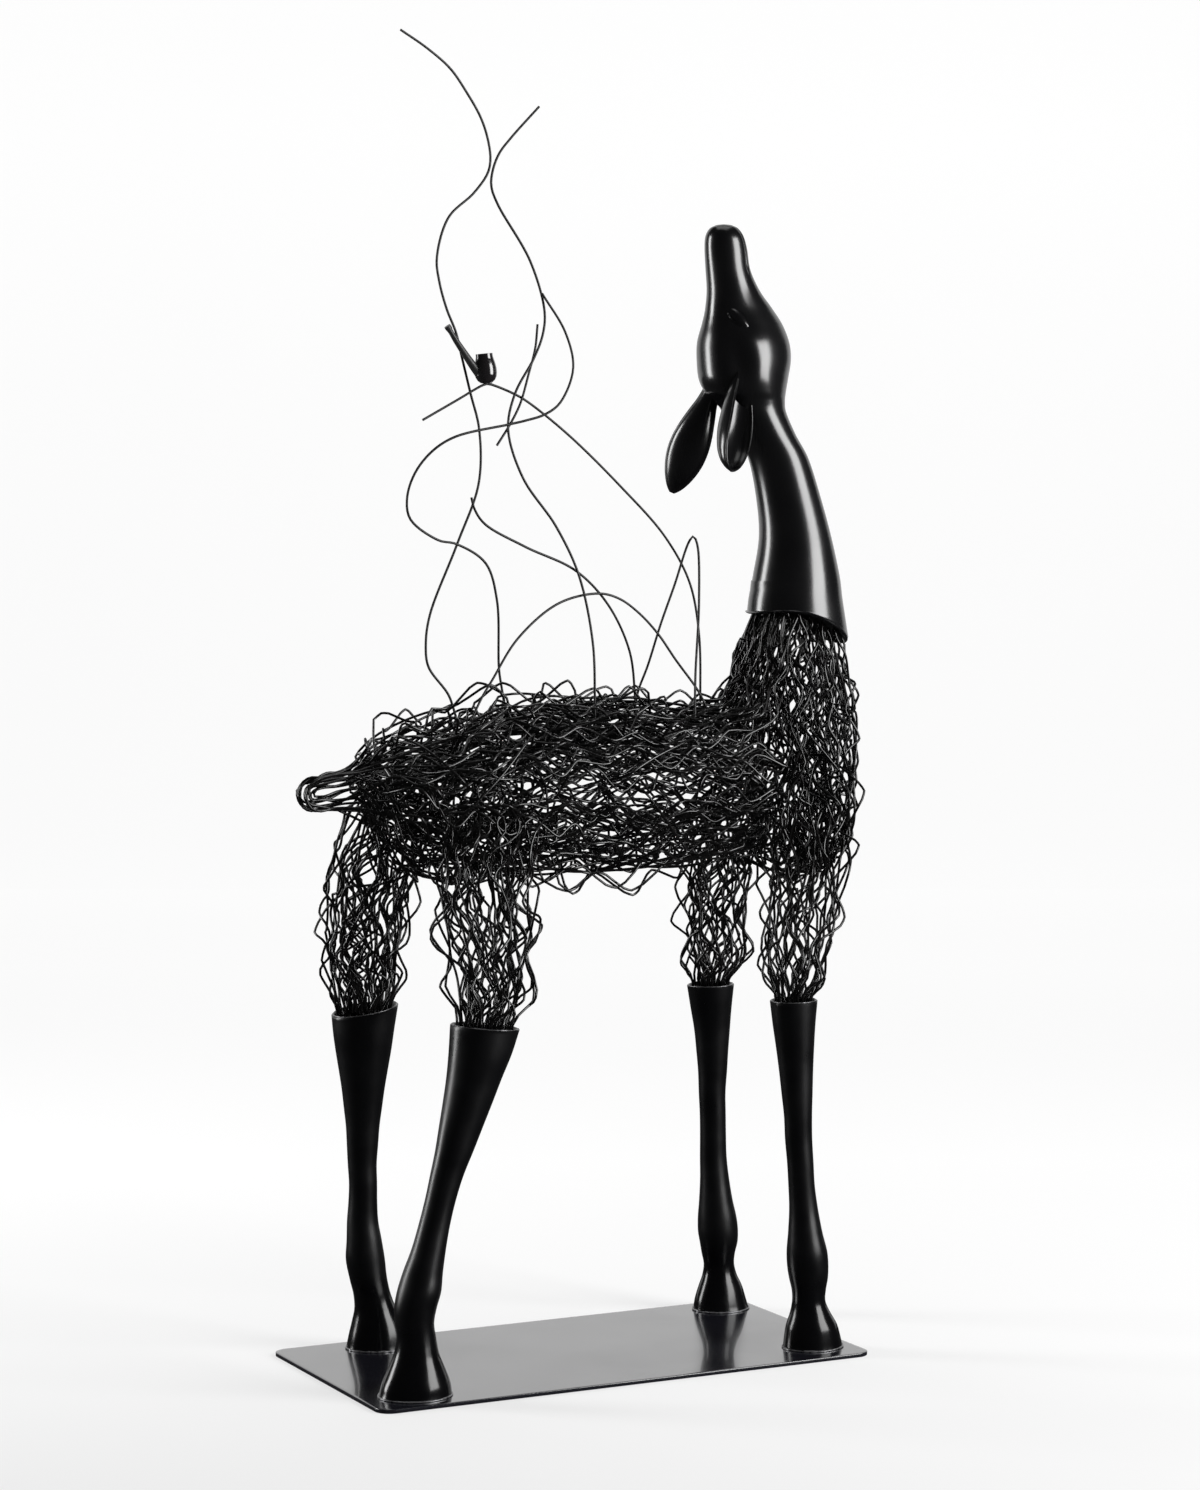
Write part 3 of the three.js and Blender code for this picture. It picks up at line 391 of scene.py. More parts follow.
# A growing mesh of tubes and skins
class Build:
    def __init__(self):
        self.points = []
        self.faces = []
        self.slots = []
        self.count = 0

    def add(self, points, faces, slot=0):
        self.faces += [[index + self.count for index in face] for face in faces]
        self.slots += [slot] * len(faces)
        self.points.append(np.asarray(points, float).reshape(-1, 3))
        self.count += len(self.points[-1])

    # Closed skin over a stack of rings, each anticlockwise seen from the last one's side
    def skin(self, rings, slot=0, start=None, end=None):
        rings = np.asarray(rings, float)
        levels, sides = rings.shape[:2]
        start = rings[0].mean(axis=0) if start is None else start
        end = rings[-1].mean(axis=0) if end is None else end
        low = (np.arange(levels - 1)[:, None] * sides + np.arange(sides)[None, :]).ravel()
        turn = (np.arange(levels - 1)[:, None] * sides + (np.arange(sides)[None, :] + 1) % sides).ravel()
        faces = np.column_stack([low, turn, turn + sides, low + sides]).tolist()
        first = levels * sides
        top = (levels - 1) * sides
        faces += [[first, (i + 1) % sides, i] for i in range(sides)]
        faces += [[first + 1, top + i, top + (i + 1) % sides] for i in range(sides)]
        self.add(np.vstack([rings.reshape(-1, 3), start, end]), faces, slot)

    # Round bar along points; square gives a direction across the bar at each point
    def bar(self, points, square, radius, sides, slot=0):
        tangents = unit(np.gradient(points, axis=0))
        across = unit(square - tangents * np.sum(square * tangents, axis=1, keepdims=True))
        other = np.cross(tangents, across)
        angles = np.arange(sides) * 2 * math.pi / sides
        radius = np.broadcast_to(np.asarray(radius, float), len(points))[:, None, None]
        cos, sin = np.cos(angles)[None, :, None], np.sin(angles)[None, :, None]
        self.skin(points[:, None] + radius * (cos * across[:, None] + sin * other[:, None]), slot)

    def piece(self, name, materials, nodes, creases=None):
        mesh = bpy.data.meshes.new(name)
        mesh.from_pydata(np.vstack(self.points).tolist(), [], self.faces)
        for material in materials:
            mesh.materials.append(material)
        mesh.polygons.foreach_set("material_index", self.slots)
        mesh.polygons.foreach_set("use_smooth", [True] * len(self.faces))
        if creases:
            mesh.set_sharp_from_angle(angle=creases)
        mesh.update()
        thing = bpy.data.objects.new(name, mesh)
        bpy.context.scene.collection.objects.link(thing)
        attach(thing, "root")
        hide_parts(*nodes)
        return thing


# Materials
COAT_ROUGHNESS = 0.06
NOISE_SPAN = (0.3, 0.7)


def new_material(name):
    material = bpy.data.materials.new(name)
    material.use_nodes = True
    nodes = material.node_tree.nodes
    return material, nodes, material.node_tree.links, nodes["Principled BSDF"]


# Noise over the object in real size, as a factor
def noise_of(nodes, links, scale, detail=3.0):
    place = nodes.new("ShaderNodeTexCoord")
    noise = nodes.new("ShaderNodeTexNoise")
    noise.inputs["Scale"].default_value = scale
    noise.inputs["Detail"].default_value = detail
    links.new(place.outputs["Object"], noise.inputs["Vector"])
    return noise.outputs["Fac"]


# Value that goes from one range to another
def ranged(nodes, links, value, before, after):
    ramp = nodes.new("ShaderNodeMapRange")
    for end, amount in zip(("From Min", "From Max", "To Min", "To Max"), (*before, *after)):
        ramp.inputs[end].default_value = amount
    links.new(value, ramp.inputs["Value"])
    return ramp.outputs["Result"]


# Colour that follows a factor between two colours
def mixed(nodes, links, factor, one, other):
    mix = nodes.new("ShaderNodeMix")
    mix.data_type = "RGBA"
    mix.inputs[6].default_value = (*one, 1)
    mix.inputs[7].default_value = (*other, 1)
    links.new(factor, mix.inputs[0])
    return mix.outputs[2]


# Black lacquer with a faint unevenness in colour, gloss and surface
def lacquer(name, dark, pale, rough, grain, bump, sheen, coat=0.0):
    material, nodes, links, shader = new_material(name)
    cloud = noise_of(nodes, links, grain)
    links.new(mixed(nodes, links, cloud, dark, pale), shader.inputs["Base Color"])
    links.new(ranged(nodes, links, cloud, NOISE_SPAN, rough), shader.inputs["Roughness"])
    shader.inputs["Specular IOR Level"].default_value = sheen
    shader.inputs["Coat Weight"].default_value = coat
    shader.inputs["Coat Roughness"].default_value = COAT_ROUGHNESS
    ripple = nodes.new("ShaderNodeBump")
    ripple.inputs["Strength"].default_value = bump
    ripple.inputs["Distance"].default_value = 0.0004
    links.new(noise_of(nodes, links, grain * 9), ripple.inputs["Height"])
    links.new(ripple.outputs["Normal"], shader.inputs["Normal"])
    return material


# The legs' lacquer is polished on the hooves and satin above them
def leg_satin():
    dark, pale = (0.0006, 0.0006, 0.0008), (0.0016, 0.0016, 0.0020)
    material = lacquer("leg_satin", dark, pale, rough=(0.27, 0.38), grain=22, bump=0.06, sheen=0.24)
    nodes, links = material.node_tree.nodes, material.node_tree.links
    rough = nodes["Principled BSDF"].inputs["Roughness"]
    place = nodes.new("ShaderNodeTexCoord")
    axes = nodes.new("ShaderNodeSeparateXYZ")
    links.new(place.outputs["Object"], axes.inputs[0])
    polish = ranged(nodes, links, axes.outputs["Z"], (HOOF_TOP, HOOF_TOP * 1.8), (0.55, 1.0))
    product = nodes.new("ShaderNodeMath")
    product.operation = "MULTIPLY"
    links.new(rough.links[0].from_socket, product.inputs[0])
    links.new(polish, product.inputs[1])
    links.new(product.outputs["Value"], rough)
    return material


def weld_metal():
    material, nodes, links, shader = new_material("weld_metal")
    cloud = noise_of(nodes, links, 260)
    links.new(mixed(nodes, links, cloud, (0.03, 0.03, 0.03), (0.30, 0.30, 0.31)), shader.inputs["Base Color"])
    links.new(ranged(nodes, links, cloud, NOISE_SPAN, (0.22, 0.45)), shader.inputs["Roughness"])
    shader.inputs["Metallic"].default_value = 0.8
    return material


HEAD_GLOSS = lacquer(
    "head_gloss", (0.0012, 0.0012, 0.0015), (0.0026, 0.0026, 0.003),
    rough=(0.19, 0.25), grain=14, bump=0.02, sheen=0.5,
)
LEG_SATIN = leg_satin()
PLATE_SATIN = lacquer(
    "plate_satin", (0.004, 0.004, 0.006), (0.008, 0.008, 0.012),
    rough=(0.15, 0.25), grain=6, bump=0.04, sheen=0.5, coat=0.5,
)
WIRE_BLACK = lacquer(
    "wire_black", (0.0012, 0.0012, 0.0012), (0.004, 0.0037, 0.0037),
    rough=(0.14, 0.26), grain=55, bump=0.1, sheen=0.4,
)
BACK_WIRE_BLACK = lacquer(
    "back_wire_black", (0.002, 0.002, 0.002), (0.005, 0.0046, 0.0046),
    rough=(0.3, 0.45), grain=45, bump=0.1, sheen=0.25,
)
PIPE_GLOSS = lacquer(
    "pipe_gloss", (0.004, 0.004, 0.005), (0.01, 0.008, 0.008),
    rough=(0.12, 0.2), grain=60, bump=0.03, sheen=0.5, coat=0.3,
)
STEM_SATIN = lacquer(
    "stem_satin", (0.01, 0.01, 0.01), (0.018, 0.018, 0.018),
    rough=(0.36, 0.46), grain=60, bump=0.05, sheen=0.3,
)
WELD_METAL = weld_metal()


# Base plate: rounded rectangle with slightly rounded edges
def base_plate():
    half = np.array([PLATE["length"], PLATE["width"]]) / 2 - PLATE["corner"]
    edge = PLATE_EDGE["round"]
    steps = 10

    def outline(inset, height):
        ring = []
        for k, (sx, sy) in enumerate([(1, 1), (-1, 1), (-1, -1), (1, -1)]):
            for i in range(steps + 1):
                angle = (k + i / steps) * math.pi / 2
                reach = PLATE["corner"] - inset
                x = sx * half[0] + reach * math.cos(angle)
                y = sy * half[1] + reach * math.sin(angle)
                ring.append([x, y, height])
        return ring

    lower = [[PLATE_EDGE["face_inset"], 0], [edge, 0], [edge * 0.3, edge * 0.3], [0, edge]]
    upper = [[inset, PLATE["thickness"] - height] for inset, height in lower[::-1]]
    build = Build()
    build.skin([outline(inset, height) for inset, height in lower + upper])
    return build.piece("plate", [PLATE_SATIN], ["base_plate"])


# Uneven bead of weld along a closed ring
def weld_bead(build, ring, random, radius, slot):
    count = WELD["lumps"] * 3
    places = np.linspace(0, len(ring), count)
    closed = np.vstack([ring, ring[:1]])
    points = np.column_stack([np.interp(places, np.arange(len(closed)), closed[:, k]) for k in range(3)])
    lumps = np.interp(np.arange(count), np.arange(0, count, 3), random.uniform(0, 1, len(range(0, count, 3))))
    build.bar(points, np.tile([0.0, 0.0, 1.0], (count, 1)), radius + WELD["lump"] * (lumps - 0.5), 6, slot)


# Lower leg with its hoof, fetlock and hollow cup, one casting, and its weld beads
def lower_leg(name, leg, number):
    random = seeded(40 + number)
    rim_height, rim_x, rim_y, rim_width, slope = leg["rim"]
    shape = track(leg["rows"] + [leg["rim"][:4]])
    levels = np.linspace(leg["rows"][0][0], rim_height, LEG_LEVELS)
    angles = np.arange(LEG_SIDES) * 2 * math.pi / LEG_SIDES
    cos, sin = np.cos(angles), np.sin(angles)
    seam = np.exp(-((apart(angles, math.pi * 1.5 + SEAM["angle"]) / SEAM["width"]) ** 2))

    def ring(height, x, y, half, ratio, lean, seam_height=0.0):
        reach = half * (1 + seam_height * seam / half)
        return np.column_stack([x + reach * cos, y + reach * ratio * sin, height + lean * half * cos])

    rings = []
    for height, (x, y, width) in zip(levels, shape(levels)):
        ratio = HOOF_RATIO + (0.98 - HOOF_RATIO) * np.clip(height / HOOF_TOP, 0, 1) ** 2
        lean = slope * np.clip((height - rim_height + LEAN_REACH) / LEAN_REACH, 0, 1) ** 2
        if height == levels[0]:
            rings.append(ring(height, x, y, width / 2 - HOOF_BEVEL["inset"], ratio, lean))
            height = height + HOOF_BEVEL["height"]
        rings.append(ring(height, x, y, width / 2, ratio, lean, SEAM["height"] if height > HOOF_TOP else 0.0))
    rim = rim_width / 2
    wall = CUP["wall"]
    lip = rim_height + CUP["lip"]
    rings.append(ring(lip, rim_x, rim_y, rim - CUP["round"], 1, slope))
    rings.append(ring(lip, rim_x, rim_y, rim - wall + CUP["round"], 1, slope))
    rings.append(ring(rim_height, rim_x, rim_y, rim - wall, 1, slope))
    floor = rim_height - CUP["depth"]
    floor_x, floor_y = shape(floor)[0][:2]
    rings.append(ring(floor, floor_x, floor_y, rim - wall - 0.0015, 1, slope))
    build = Build()
    build.skin(rings)
    base = leg["rows"][0]
    foot = ring(base[0] + WELD["radius"] * 0.8, base[1], base[2], base[3] / 2 + 0.0004, HOOF_RATIO, 0)
    weld_bead(build, foot, random, WELD["radius"], 1)
    edge = ring(rim_height + 0.0006, rim_x, rim_y, rim - wall * 0.5, 1, slope)
    weld_bead(build, edge, random, WELD["radius"] * 0.7, 1)
    return build.piece(f"lower_leg_{name}", [LEG_SATIN, WELD_METAL], [f"leg_{name}"], 0.9)


# Height of the neck's slanted, scooped cut over a point
def neck_cut_height(x, y):
    across = (y - MID_Y) / NECK_CUT["half_breadth"]
    forward = x - NECK_CUT["x"]
    slant = NECK_CUT["slope"] * forward + NECK_CUT["front_rise"] * np.maximum(forward, 0) ** 2
    return NECK_CUT["height"] + slant + NECK_CUT["scoop"] * across * across


# Angle from one direction to another, from minus pi to pi
def apart(angles, direction):
    return np.angle(np.exp(1j * (angles - direction)))


# Head and neck, with the temples, sockets, mouth, eyes and ears
def head_and_neck():
    sections = track(HEAD)
    by_index = track([[k, *row] for k, row in enumerate(HEAD)])
    angles = np.arange(HEAD_SIDES) * 2 * math.pi / HEAD_SIDES
    cos, sin = np.cos(angles), np.sin(angles)

    def ring(height, back, front, half_breadth, taper, inset=0.0):
        x = (back + front) / 2 + ((front - back) / 2 - inset) * cos
        y = MID_Y + (half_breadth - inset) * (1 - taper * cos) * sin
        return np.column_stack([x, y, np.broadcast_to(height, len(angles))])

    def cut_ring(inset, lift):
        flat = ring(0, *sections(NECK_CUT["height"])[0], inset)
        flat[:, 2] = neck_cut_height(flat[:, 0], flat[:, 1]) + lift
        return flat

    rounded = NECK_MOUTH["round"]
    start = next(k for k, row in enumerate(HEAD) if row[0] >= NECK_BLEND["height"])
    rings = [cut_ring(rounded, 0), cut_ring(0, rounded)]
    low = rings[-1][:, 2]
    for share in np.linspace(0.08, 0.92, NECK_BLEND["rings"]):
        heights = low + share * (HEAD[start][0] - low)
        parts = sections(heights)
        x = (parts[:, 0] + parts[:, 1]) / 2 + (parts[:, 1] - parts[:, 0]) / 2 * cos
        rings.append(np.column_stack([x, MID_Y + parts[:, 2] * sin, heights]))
    for place in np.linspace(start, len(HEAD) - 1, HEAD_LEVELS):
        rings.append(sculpted(ring(*by_index(place)[0]), angles))
    inner = NECK_MOUTH["wall"]
    mouth = [cut_ring(inner + NECK_MOUTH["taper"], NECK_MOUTH["depth"])]
    mouth += [cut_ring(inner, rounded), cut_ring(inner - rounded, 0)]
    build = Build()
    build.skin(mouth + rings, end=[HEAD_TIP[0], MID_Y, HEAD_TIP[1]])
    for side in (-1, 1):
        closed_eye(build, side)
    ear(build, RIGHT_EAR)
    ear(build, LEFT_EAR)
    return build.piece("head_and_neck_casting", [HEAD_GLOSS], ["head_and_neck"], 1.2)


# Temples, eye sockets and the line of the mouth pressed into a ring of the head
def sculpted(ring, angles):
    out = np.column_stack([np.cos(angles), np.sin(angles), np.zeros(len(angles))])
    depth = np.zeros(len(angles))
    rise = (ring[0, 2] - TEMPLE["height"]) / TEMPLE["reach"]
    for side in (-1, 1):
        turn = apart(angles, side * TEMPLE["angle"] + rise * 0.12 * side) / TEMPLE["spread"]
        depth += TEMPLE["depth"] * np.exp(-(turn**2) - rise**2)
        facing = np.sin(angles) * side > 0
        from_eye = np.hypot(ring[:, 0] - EYE["centre"][0], ring[:, 2] - EYE["centre"][1])
        from_eye = from_eye / EYE_SOCKET["reach"]
        depth += np.where(facing, EYE_SOCKET["depth"] * np.exp(-(from_eye**2)), 0)
        above = ring[0, 2] - MOUTH["end"]
        line = apart(angles, side * (MOUTH["angle"] - MOUTH["turn"] * above)) / MOUTH["width"]
        depth += MOUTH["depth"] * np.clip(above / MOUTH["fade"], 0, 1) * np.exp(-(line**2))
    return ring - out * depth[:, None]


# Half-breadth of the head over a point of its side
def side_of_head(x, height):
    back, front, half_breadth, taper = track(HEAD)(height)[0]
    across = np.clip((x - (back + front) / 2) / ((front - back) / 2), -0.99, 0.99)
    return half_breadth * (1 - taper * across) * math.sqrt(1 - across * across)


# Closed eye: a pointed almond with a thin lid line round it
def closed_eye(build, side):
    along = np.array([EYE["along"][0], 0, EYE["along"][1]])
    upward = np.array([-along[2], 0, along[0]])
    rows = []
    steps = np.linspace(-1, 1, 25)
    outline = []
    for t in steps:
        half = EYE["half_width"] * (1 - t * t) ** 0.8 + 0.0002
        row = []
        for s in np.linspace(-1, 1, 11):
            place = along * t * EYE["half_length"] + upward * half * s
            x = EYE["centre"][0] + place[0]
            height = EYE["centre"][1] + place[2]
            surface = side_of_head(x, height) - EYE_SOCKET["depth"] * 1.1
            bulge = EYE_BULGE * (1 - t * t) * (1 - s * s) - 0.0004
            row.append([x, MID_Y + side * (surface + bulge), height])
        rows.append(row)
        outline.append((row[0], row[-1]))
    rows = np.array(rows)
    back = rows - np.array([0, side * 0.006, 0])
    rings = [np.vstack([row, under[::-1]]) for row, under in zip(rows, back)]
    build.skin(rings if side > 0 else [ring[::-1] for ring in rings])
    lid = np.array([pair[0] for pair in outline] + [pair[1] for pair in outline[::-1]])
    lid[:, 1] += side * 0.0004
    build.bar(lid, np.tile([0.0, float(side), 0.0], (len(lid), 1)), EYE_RIM, 6)


# Ear: a bent leaf with a thin rolled rim round its hollow
def ear(build, shape):
    start, tip = np.array(shape["root"]), np.array(shape["tip"])
    length = np.linalg.norm(tip - start)
    lengthwise = (tip - start) / length
    backward = -np.array(shape["hollow_faces"])
    backward = unit(backward - lengthwise * backward.dot(lengthwise))
    sideways = np.cross(backward, lengthwise)
    sections = track(shape["sections"])
    outer = np.linspace(0, math.pi, EAR_POINTS)
    inner = np.linspace(math.pi, 0, EAR_POINTS + 2)[1:-1]
    rings = []
    edges = []
    for t in np.linspace(0, 1, EAR_LEVELS):
        half, back, hollow = sections(t)[0]
        arch = math.sin(math.pi * t)
        at = start + lengthwise * t * length + (backward * EAR_BEND + np.array(shape["bow"])) * arch
        fold = EAR_FOLD["height"] * np.exp(-(((np.cos(inner) - EAR_FOLD["centre"]) / EAR_FOLD["width"]) ** 2))
        fold = fold * np.clip((t - EAR_FOLD["from"]) * 5, 0, 1) * np.clip((EAR_FOLD["to"] - t) * 5, 0, 1)
        shell = [at + sideways * half * math.cos(a) + backward * back * math.sin(a) for a in outer]
        bowl = [
            at + sideways * half * EAR_HOLLOW_WIDTH * math.cos(a) + backward * (hollow * math.sin(a) - lift)
            for a, lift in zip(inner, fold)
        ]
        rings.append(np.array(shell + bowl))
        if t >= EAR_RIM["from"]:
            edge = sideways * half * EAR_RIM["place"]
            edges.append([at + edge, at - edge])
    build.skin(rings)
    rim = np.array([pair[0] for pair in edges] + [pair[1] for pair in edges[::-1]])
    build.bar(rim, np.tile(backward, (len(rim), 1)), EAR_RIM["radius"], 8)


# Crimped wire along an axis. The axis has a direction out of the surface at each point, and
# fade gives the share of the full crimp there.
def crimped(build, axis, outward, random, roll, height, period, fade=None):
    steps = np.linalg.norm(np.diff(axis, axis=0), axis=1)
    length = np.concatenate([[0], np.cumsum(steps)])
    corners = max(3, int(length[-1] / period * 2))
    gaps = random.uniform(0.6, 1.4, corners)
    places = np.concatenate([[0], np.cumsum(gaps)]) + random.uniform(-0.4, 0)
    places = np.clip(places / (corners - 0.2) * length[-1], 0, length[-1])
    size = 0.45 + 0.55 * np.interp(np.arange(corners + 1), np.arange(corners) + 0.5, gaps)
    sides = np.where(np.arange(corners + 1) % 2, 1, -1)
    swings = height * size * random.uniform(0.7, 1.2, corners + 1) * sides
    flank = np.array(FLANK)
    rise = flank - 0.5 * np.sin(2 * math.pi * flank) / (2 * math.pi)
    where = (places[:-1, None] + np.diff(places)[:, None] * flank).ravel()
    swing = (swings[:-1, None] + np.diff(swings)[:, None] * rise).ravel()
    where = np.append(where, places[-1])
    swing = np.append(swing, swings[-1])

    def along(values):
        return np.column_stack([np.interp(where, length, values[:, k]) for k in range(3)])

    base = along(axis)
    tangent = unit(along(np.gradient(axis, axis=0)))
    normal = unit(along(outward))
    across = unit(np.cross(tangent, normal))
    turn = roll + 0.5 * np.sin(where / 0.11 + random.uniform(0, 6.28))
    direction = np.cos(turn)[:, None] * across + np.sin(turn)[:, None] * normal
    square = -np.sin(turn)[:, None] * across + np.cos(turn)[:, None] * normal
    if fade is not None:
        swing = swing * np.interp(where, length, fade)
    build.bar(base + direction * swing[:, None], square, WIRE["radius"], WIRE["sides"])


# Surface of the barrel of the body: angle 0 is its left side, and a quarter turn is the top
def on_torso(angle, along, share):
    x, top, bottom, breadth = track(TORSO)(along).T
    depth = (top - bottom) / 2
    reach = np.column_stack([np.zeros(len(x)), breadth * np.cos(angle), depth * np.sin(angle)])
    outward = np.column_stack([np.zeros(len(x)), np.cos(angle) / breadth, np.sin(angle) / depth])
    middle = np.column_stack([x, np.full(len(x), MID_Y), (top + bottom) / 2])
    return middle + reach * np.reshape(share, (-1, 1)), unit(outward)


# Surface of the chest and lower neck: angle 0 is its front, and a quarter turn is its left side
def on_chest(angle, along, share):
    height, back, front, breadth, slant = track(CHEST)(along).T
    depth = (front - back) / 2
    x = (front + back) / 2 + depth * np.cos(angle) * share
    y = MID_Y + breadth * np.sin(angle) * share
    outward = np.column_stack([np.cos(angle) / depth, np.sin(angle) / breadth, np.zeros(len(depth))])
    height = height + slant * (neck_cut_height(x, y) - NECK_CUT["height"])
    return np.column_stack([x, y, height]), unit(outward)


# Upper leg's surface, from its cup up into the body
def on_upper_leg(leg, angle, height, share):
    rim_height, rim_x, rim_y, rim_width, slope = leg["rim"]
    cup = rim_width / 2 - CUP["wall"] - WIRE["radius"] * 1.6
    bottom = rim_height - CUP["depth"] + WIRE["radius"] + 0.003
    rows = [[bottom, rim_x, rim_y, cup * 0.92, cup * 0.92], [rim_height + 0.004, rim_x, rim_y, cup, cup]]
    x, y, depth, breadth = track(rows + leg["wires"])(height).T
    low = np.clip((rim_height + 0.03 - height) / 0.03, 0, 1)
    reach_x = depth * np.cos(angle) * share
    outward = np.column_stack([np.cos(angle), np.sin(angle), np.zeros(len(x))])
    reach_y = breadth * np.sin(angle) * share
    return np.column_stack([x + reach_x, y + reach_y, height + low * slope * reach_x]), outward


# Slow random swing along a wire
def swaying(random, along, size):
    return size * (
        np.sin(along * random.uniform(3, 7) + random.uniform(0, 6.28))
        + 0.6 * np.sin(along * random.uniform(9, 15) + random.uniform(0, 6.28))
        + 0.3 * np.sin(along * random.uniform(20, 32) + random.uniform(0, 6.28))
    )


# How deep a wire lies: most are near the surface
def depth_share(random, inner=0.5):
    return 1 - (1 - inner) * random.uniform(0, 1) ** 1.6


# Share of the depth along a wire, with its ends, or its start only, tucked into the bundle
def tucked(share, count, start_only=False):
    place = np.arange(count) / (count - 1)
    from_end = place if start_only else np.minimum(place, 1 - place)
    return share * (1 - TUCK["depth"] * np.clip(1 - from_end / TUCK["reach"], 0, 1) ** 1.5)


# Smooth straight strand laid over a surface
def straight_strand(build, points):
    build.bar(points, carried(points), WIRE["radius"], WIRE["sides"])


# Barrel of the body, with the loose wires of the back and belly
def torso_wires():
    random = seeded(11)
    build = Build()
    for k in range(TORSO_WIRES + SHORT_TORSO_WIRES):
        short = k >= TORSO_WIRES
        angle = 2 * math.pi * (k * GOLDEN_TURN % 1)
        if short:
            start = random.uniform(-0.04, 0.85)
            end = start + random.uniform(0.2, 0.4)
        else:
            start = -0.06 + 0.10 * random.uniform() if k % 3 == 0 else random.uniform(0.03, 0.48)
            end = random.uniform(0.96, 1.12) if k % 4 else random.uniform(0.5, 0.9)
        along = np.linspace(start, min(end, 1.12), 48)
        drift = random.uniform(-3.2, 3.2) if short else random.normal(0, 0.7)
        angles = angle + swaying(random, along, 0.17) + drift * (along - (start + end) / 2)
        share = depth_share(random, 0.42) + swaying(random, along, 0.03)
        axis, outward = on_torso(angles, along, tucked(share, 48) * 0.955)
        height = WIRE["height"] * random.uniform(0.6, 1.05)
        fade = 0.4 + 0.6 * np.clip((along + 0.06) / 0.12, 0, 1)
        crimped(build, axis, outward, random, random.normal(0, 0.4), height, WIRE["period"], fade)
    for _ in range(LOOSE_ON_BACK):
        start = random.uniform(0.02, 0.72)
        along = np.linspace(start, start + random.uniform(0.16, 0.36), 24)
        angles = math.pi / 2 + random.uniform(-0.8, 0.8) + swaying(random, along, 0.08)
        axis, outward = on_torso(angles, along, tucked(1 + random.uniform(0.0, 0.09), 24))
        crimped(build, axis, outward, random, random.uniform(0.7, 2.2), *LOOSE_CRIMPS["back"])
    for k in range(LOOSE_UNDER_BELLY):
        along = np.linspace(0.40 + 0.05 * k, 0.66 + 0.06 * k, 24)
        angles = -math.pi / 2 + random.uniform(-0.55, 0.35) + swaying(random, along, 0.06)
        axis, outward = on_torso(angles, along, tucked(1, 24))
        axis[:, 2] -= (0.005 + 0.0035 * k) * np.sin(np.linspace(0.2, math.pi - 0.2, 24))
        crimped(build, axis, outward, random, math.pi / 2 + random.uniform(-0.3, 0.3), *LOOSE_CRIMPS["belly"])
    for _ in range(STRAIGHT_ON_TORSO):
        start = random.uniform(0.0, 0.85)
        along = np.linspace(start, start + random.uniform(0.15, 0.45) * random.choice([1, 0.6]), 14)
        start_angle = random.uniform(0, 6.28)
        slant = random.choice([-1, 1]) * random.uniform(0.5, 1.4)
        angles = start_angle + slant * np.linspace(0, 1, 14)
        axis, _ = on_torso(angles + swaying(random, along, 0.05), along, tucked(0.985, 14))
        straight_strand(build, axis)
    return build.piece("torso_tangle", [WIRE_BLACK], ["torso_wires"])


# Wire axis that passes from one surface to another
def flowing(first, second, count):
    points = np.vstack([first[0], second[0]])
    keys = np.concatenate([[0], np.cumsum(np.linalg.norm(np.diff(points, axis=0), axis=1))])
    outward = np.vstack([first[1], second[1]])
    line = track(np.column_stack([keys, points, outward]))(np.linspace(0, keys[-1], count))
    return line[:, :3], unit(line[:, 3:])


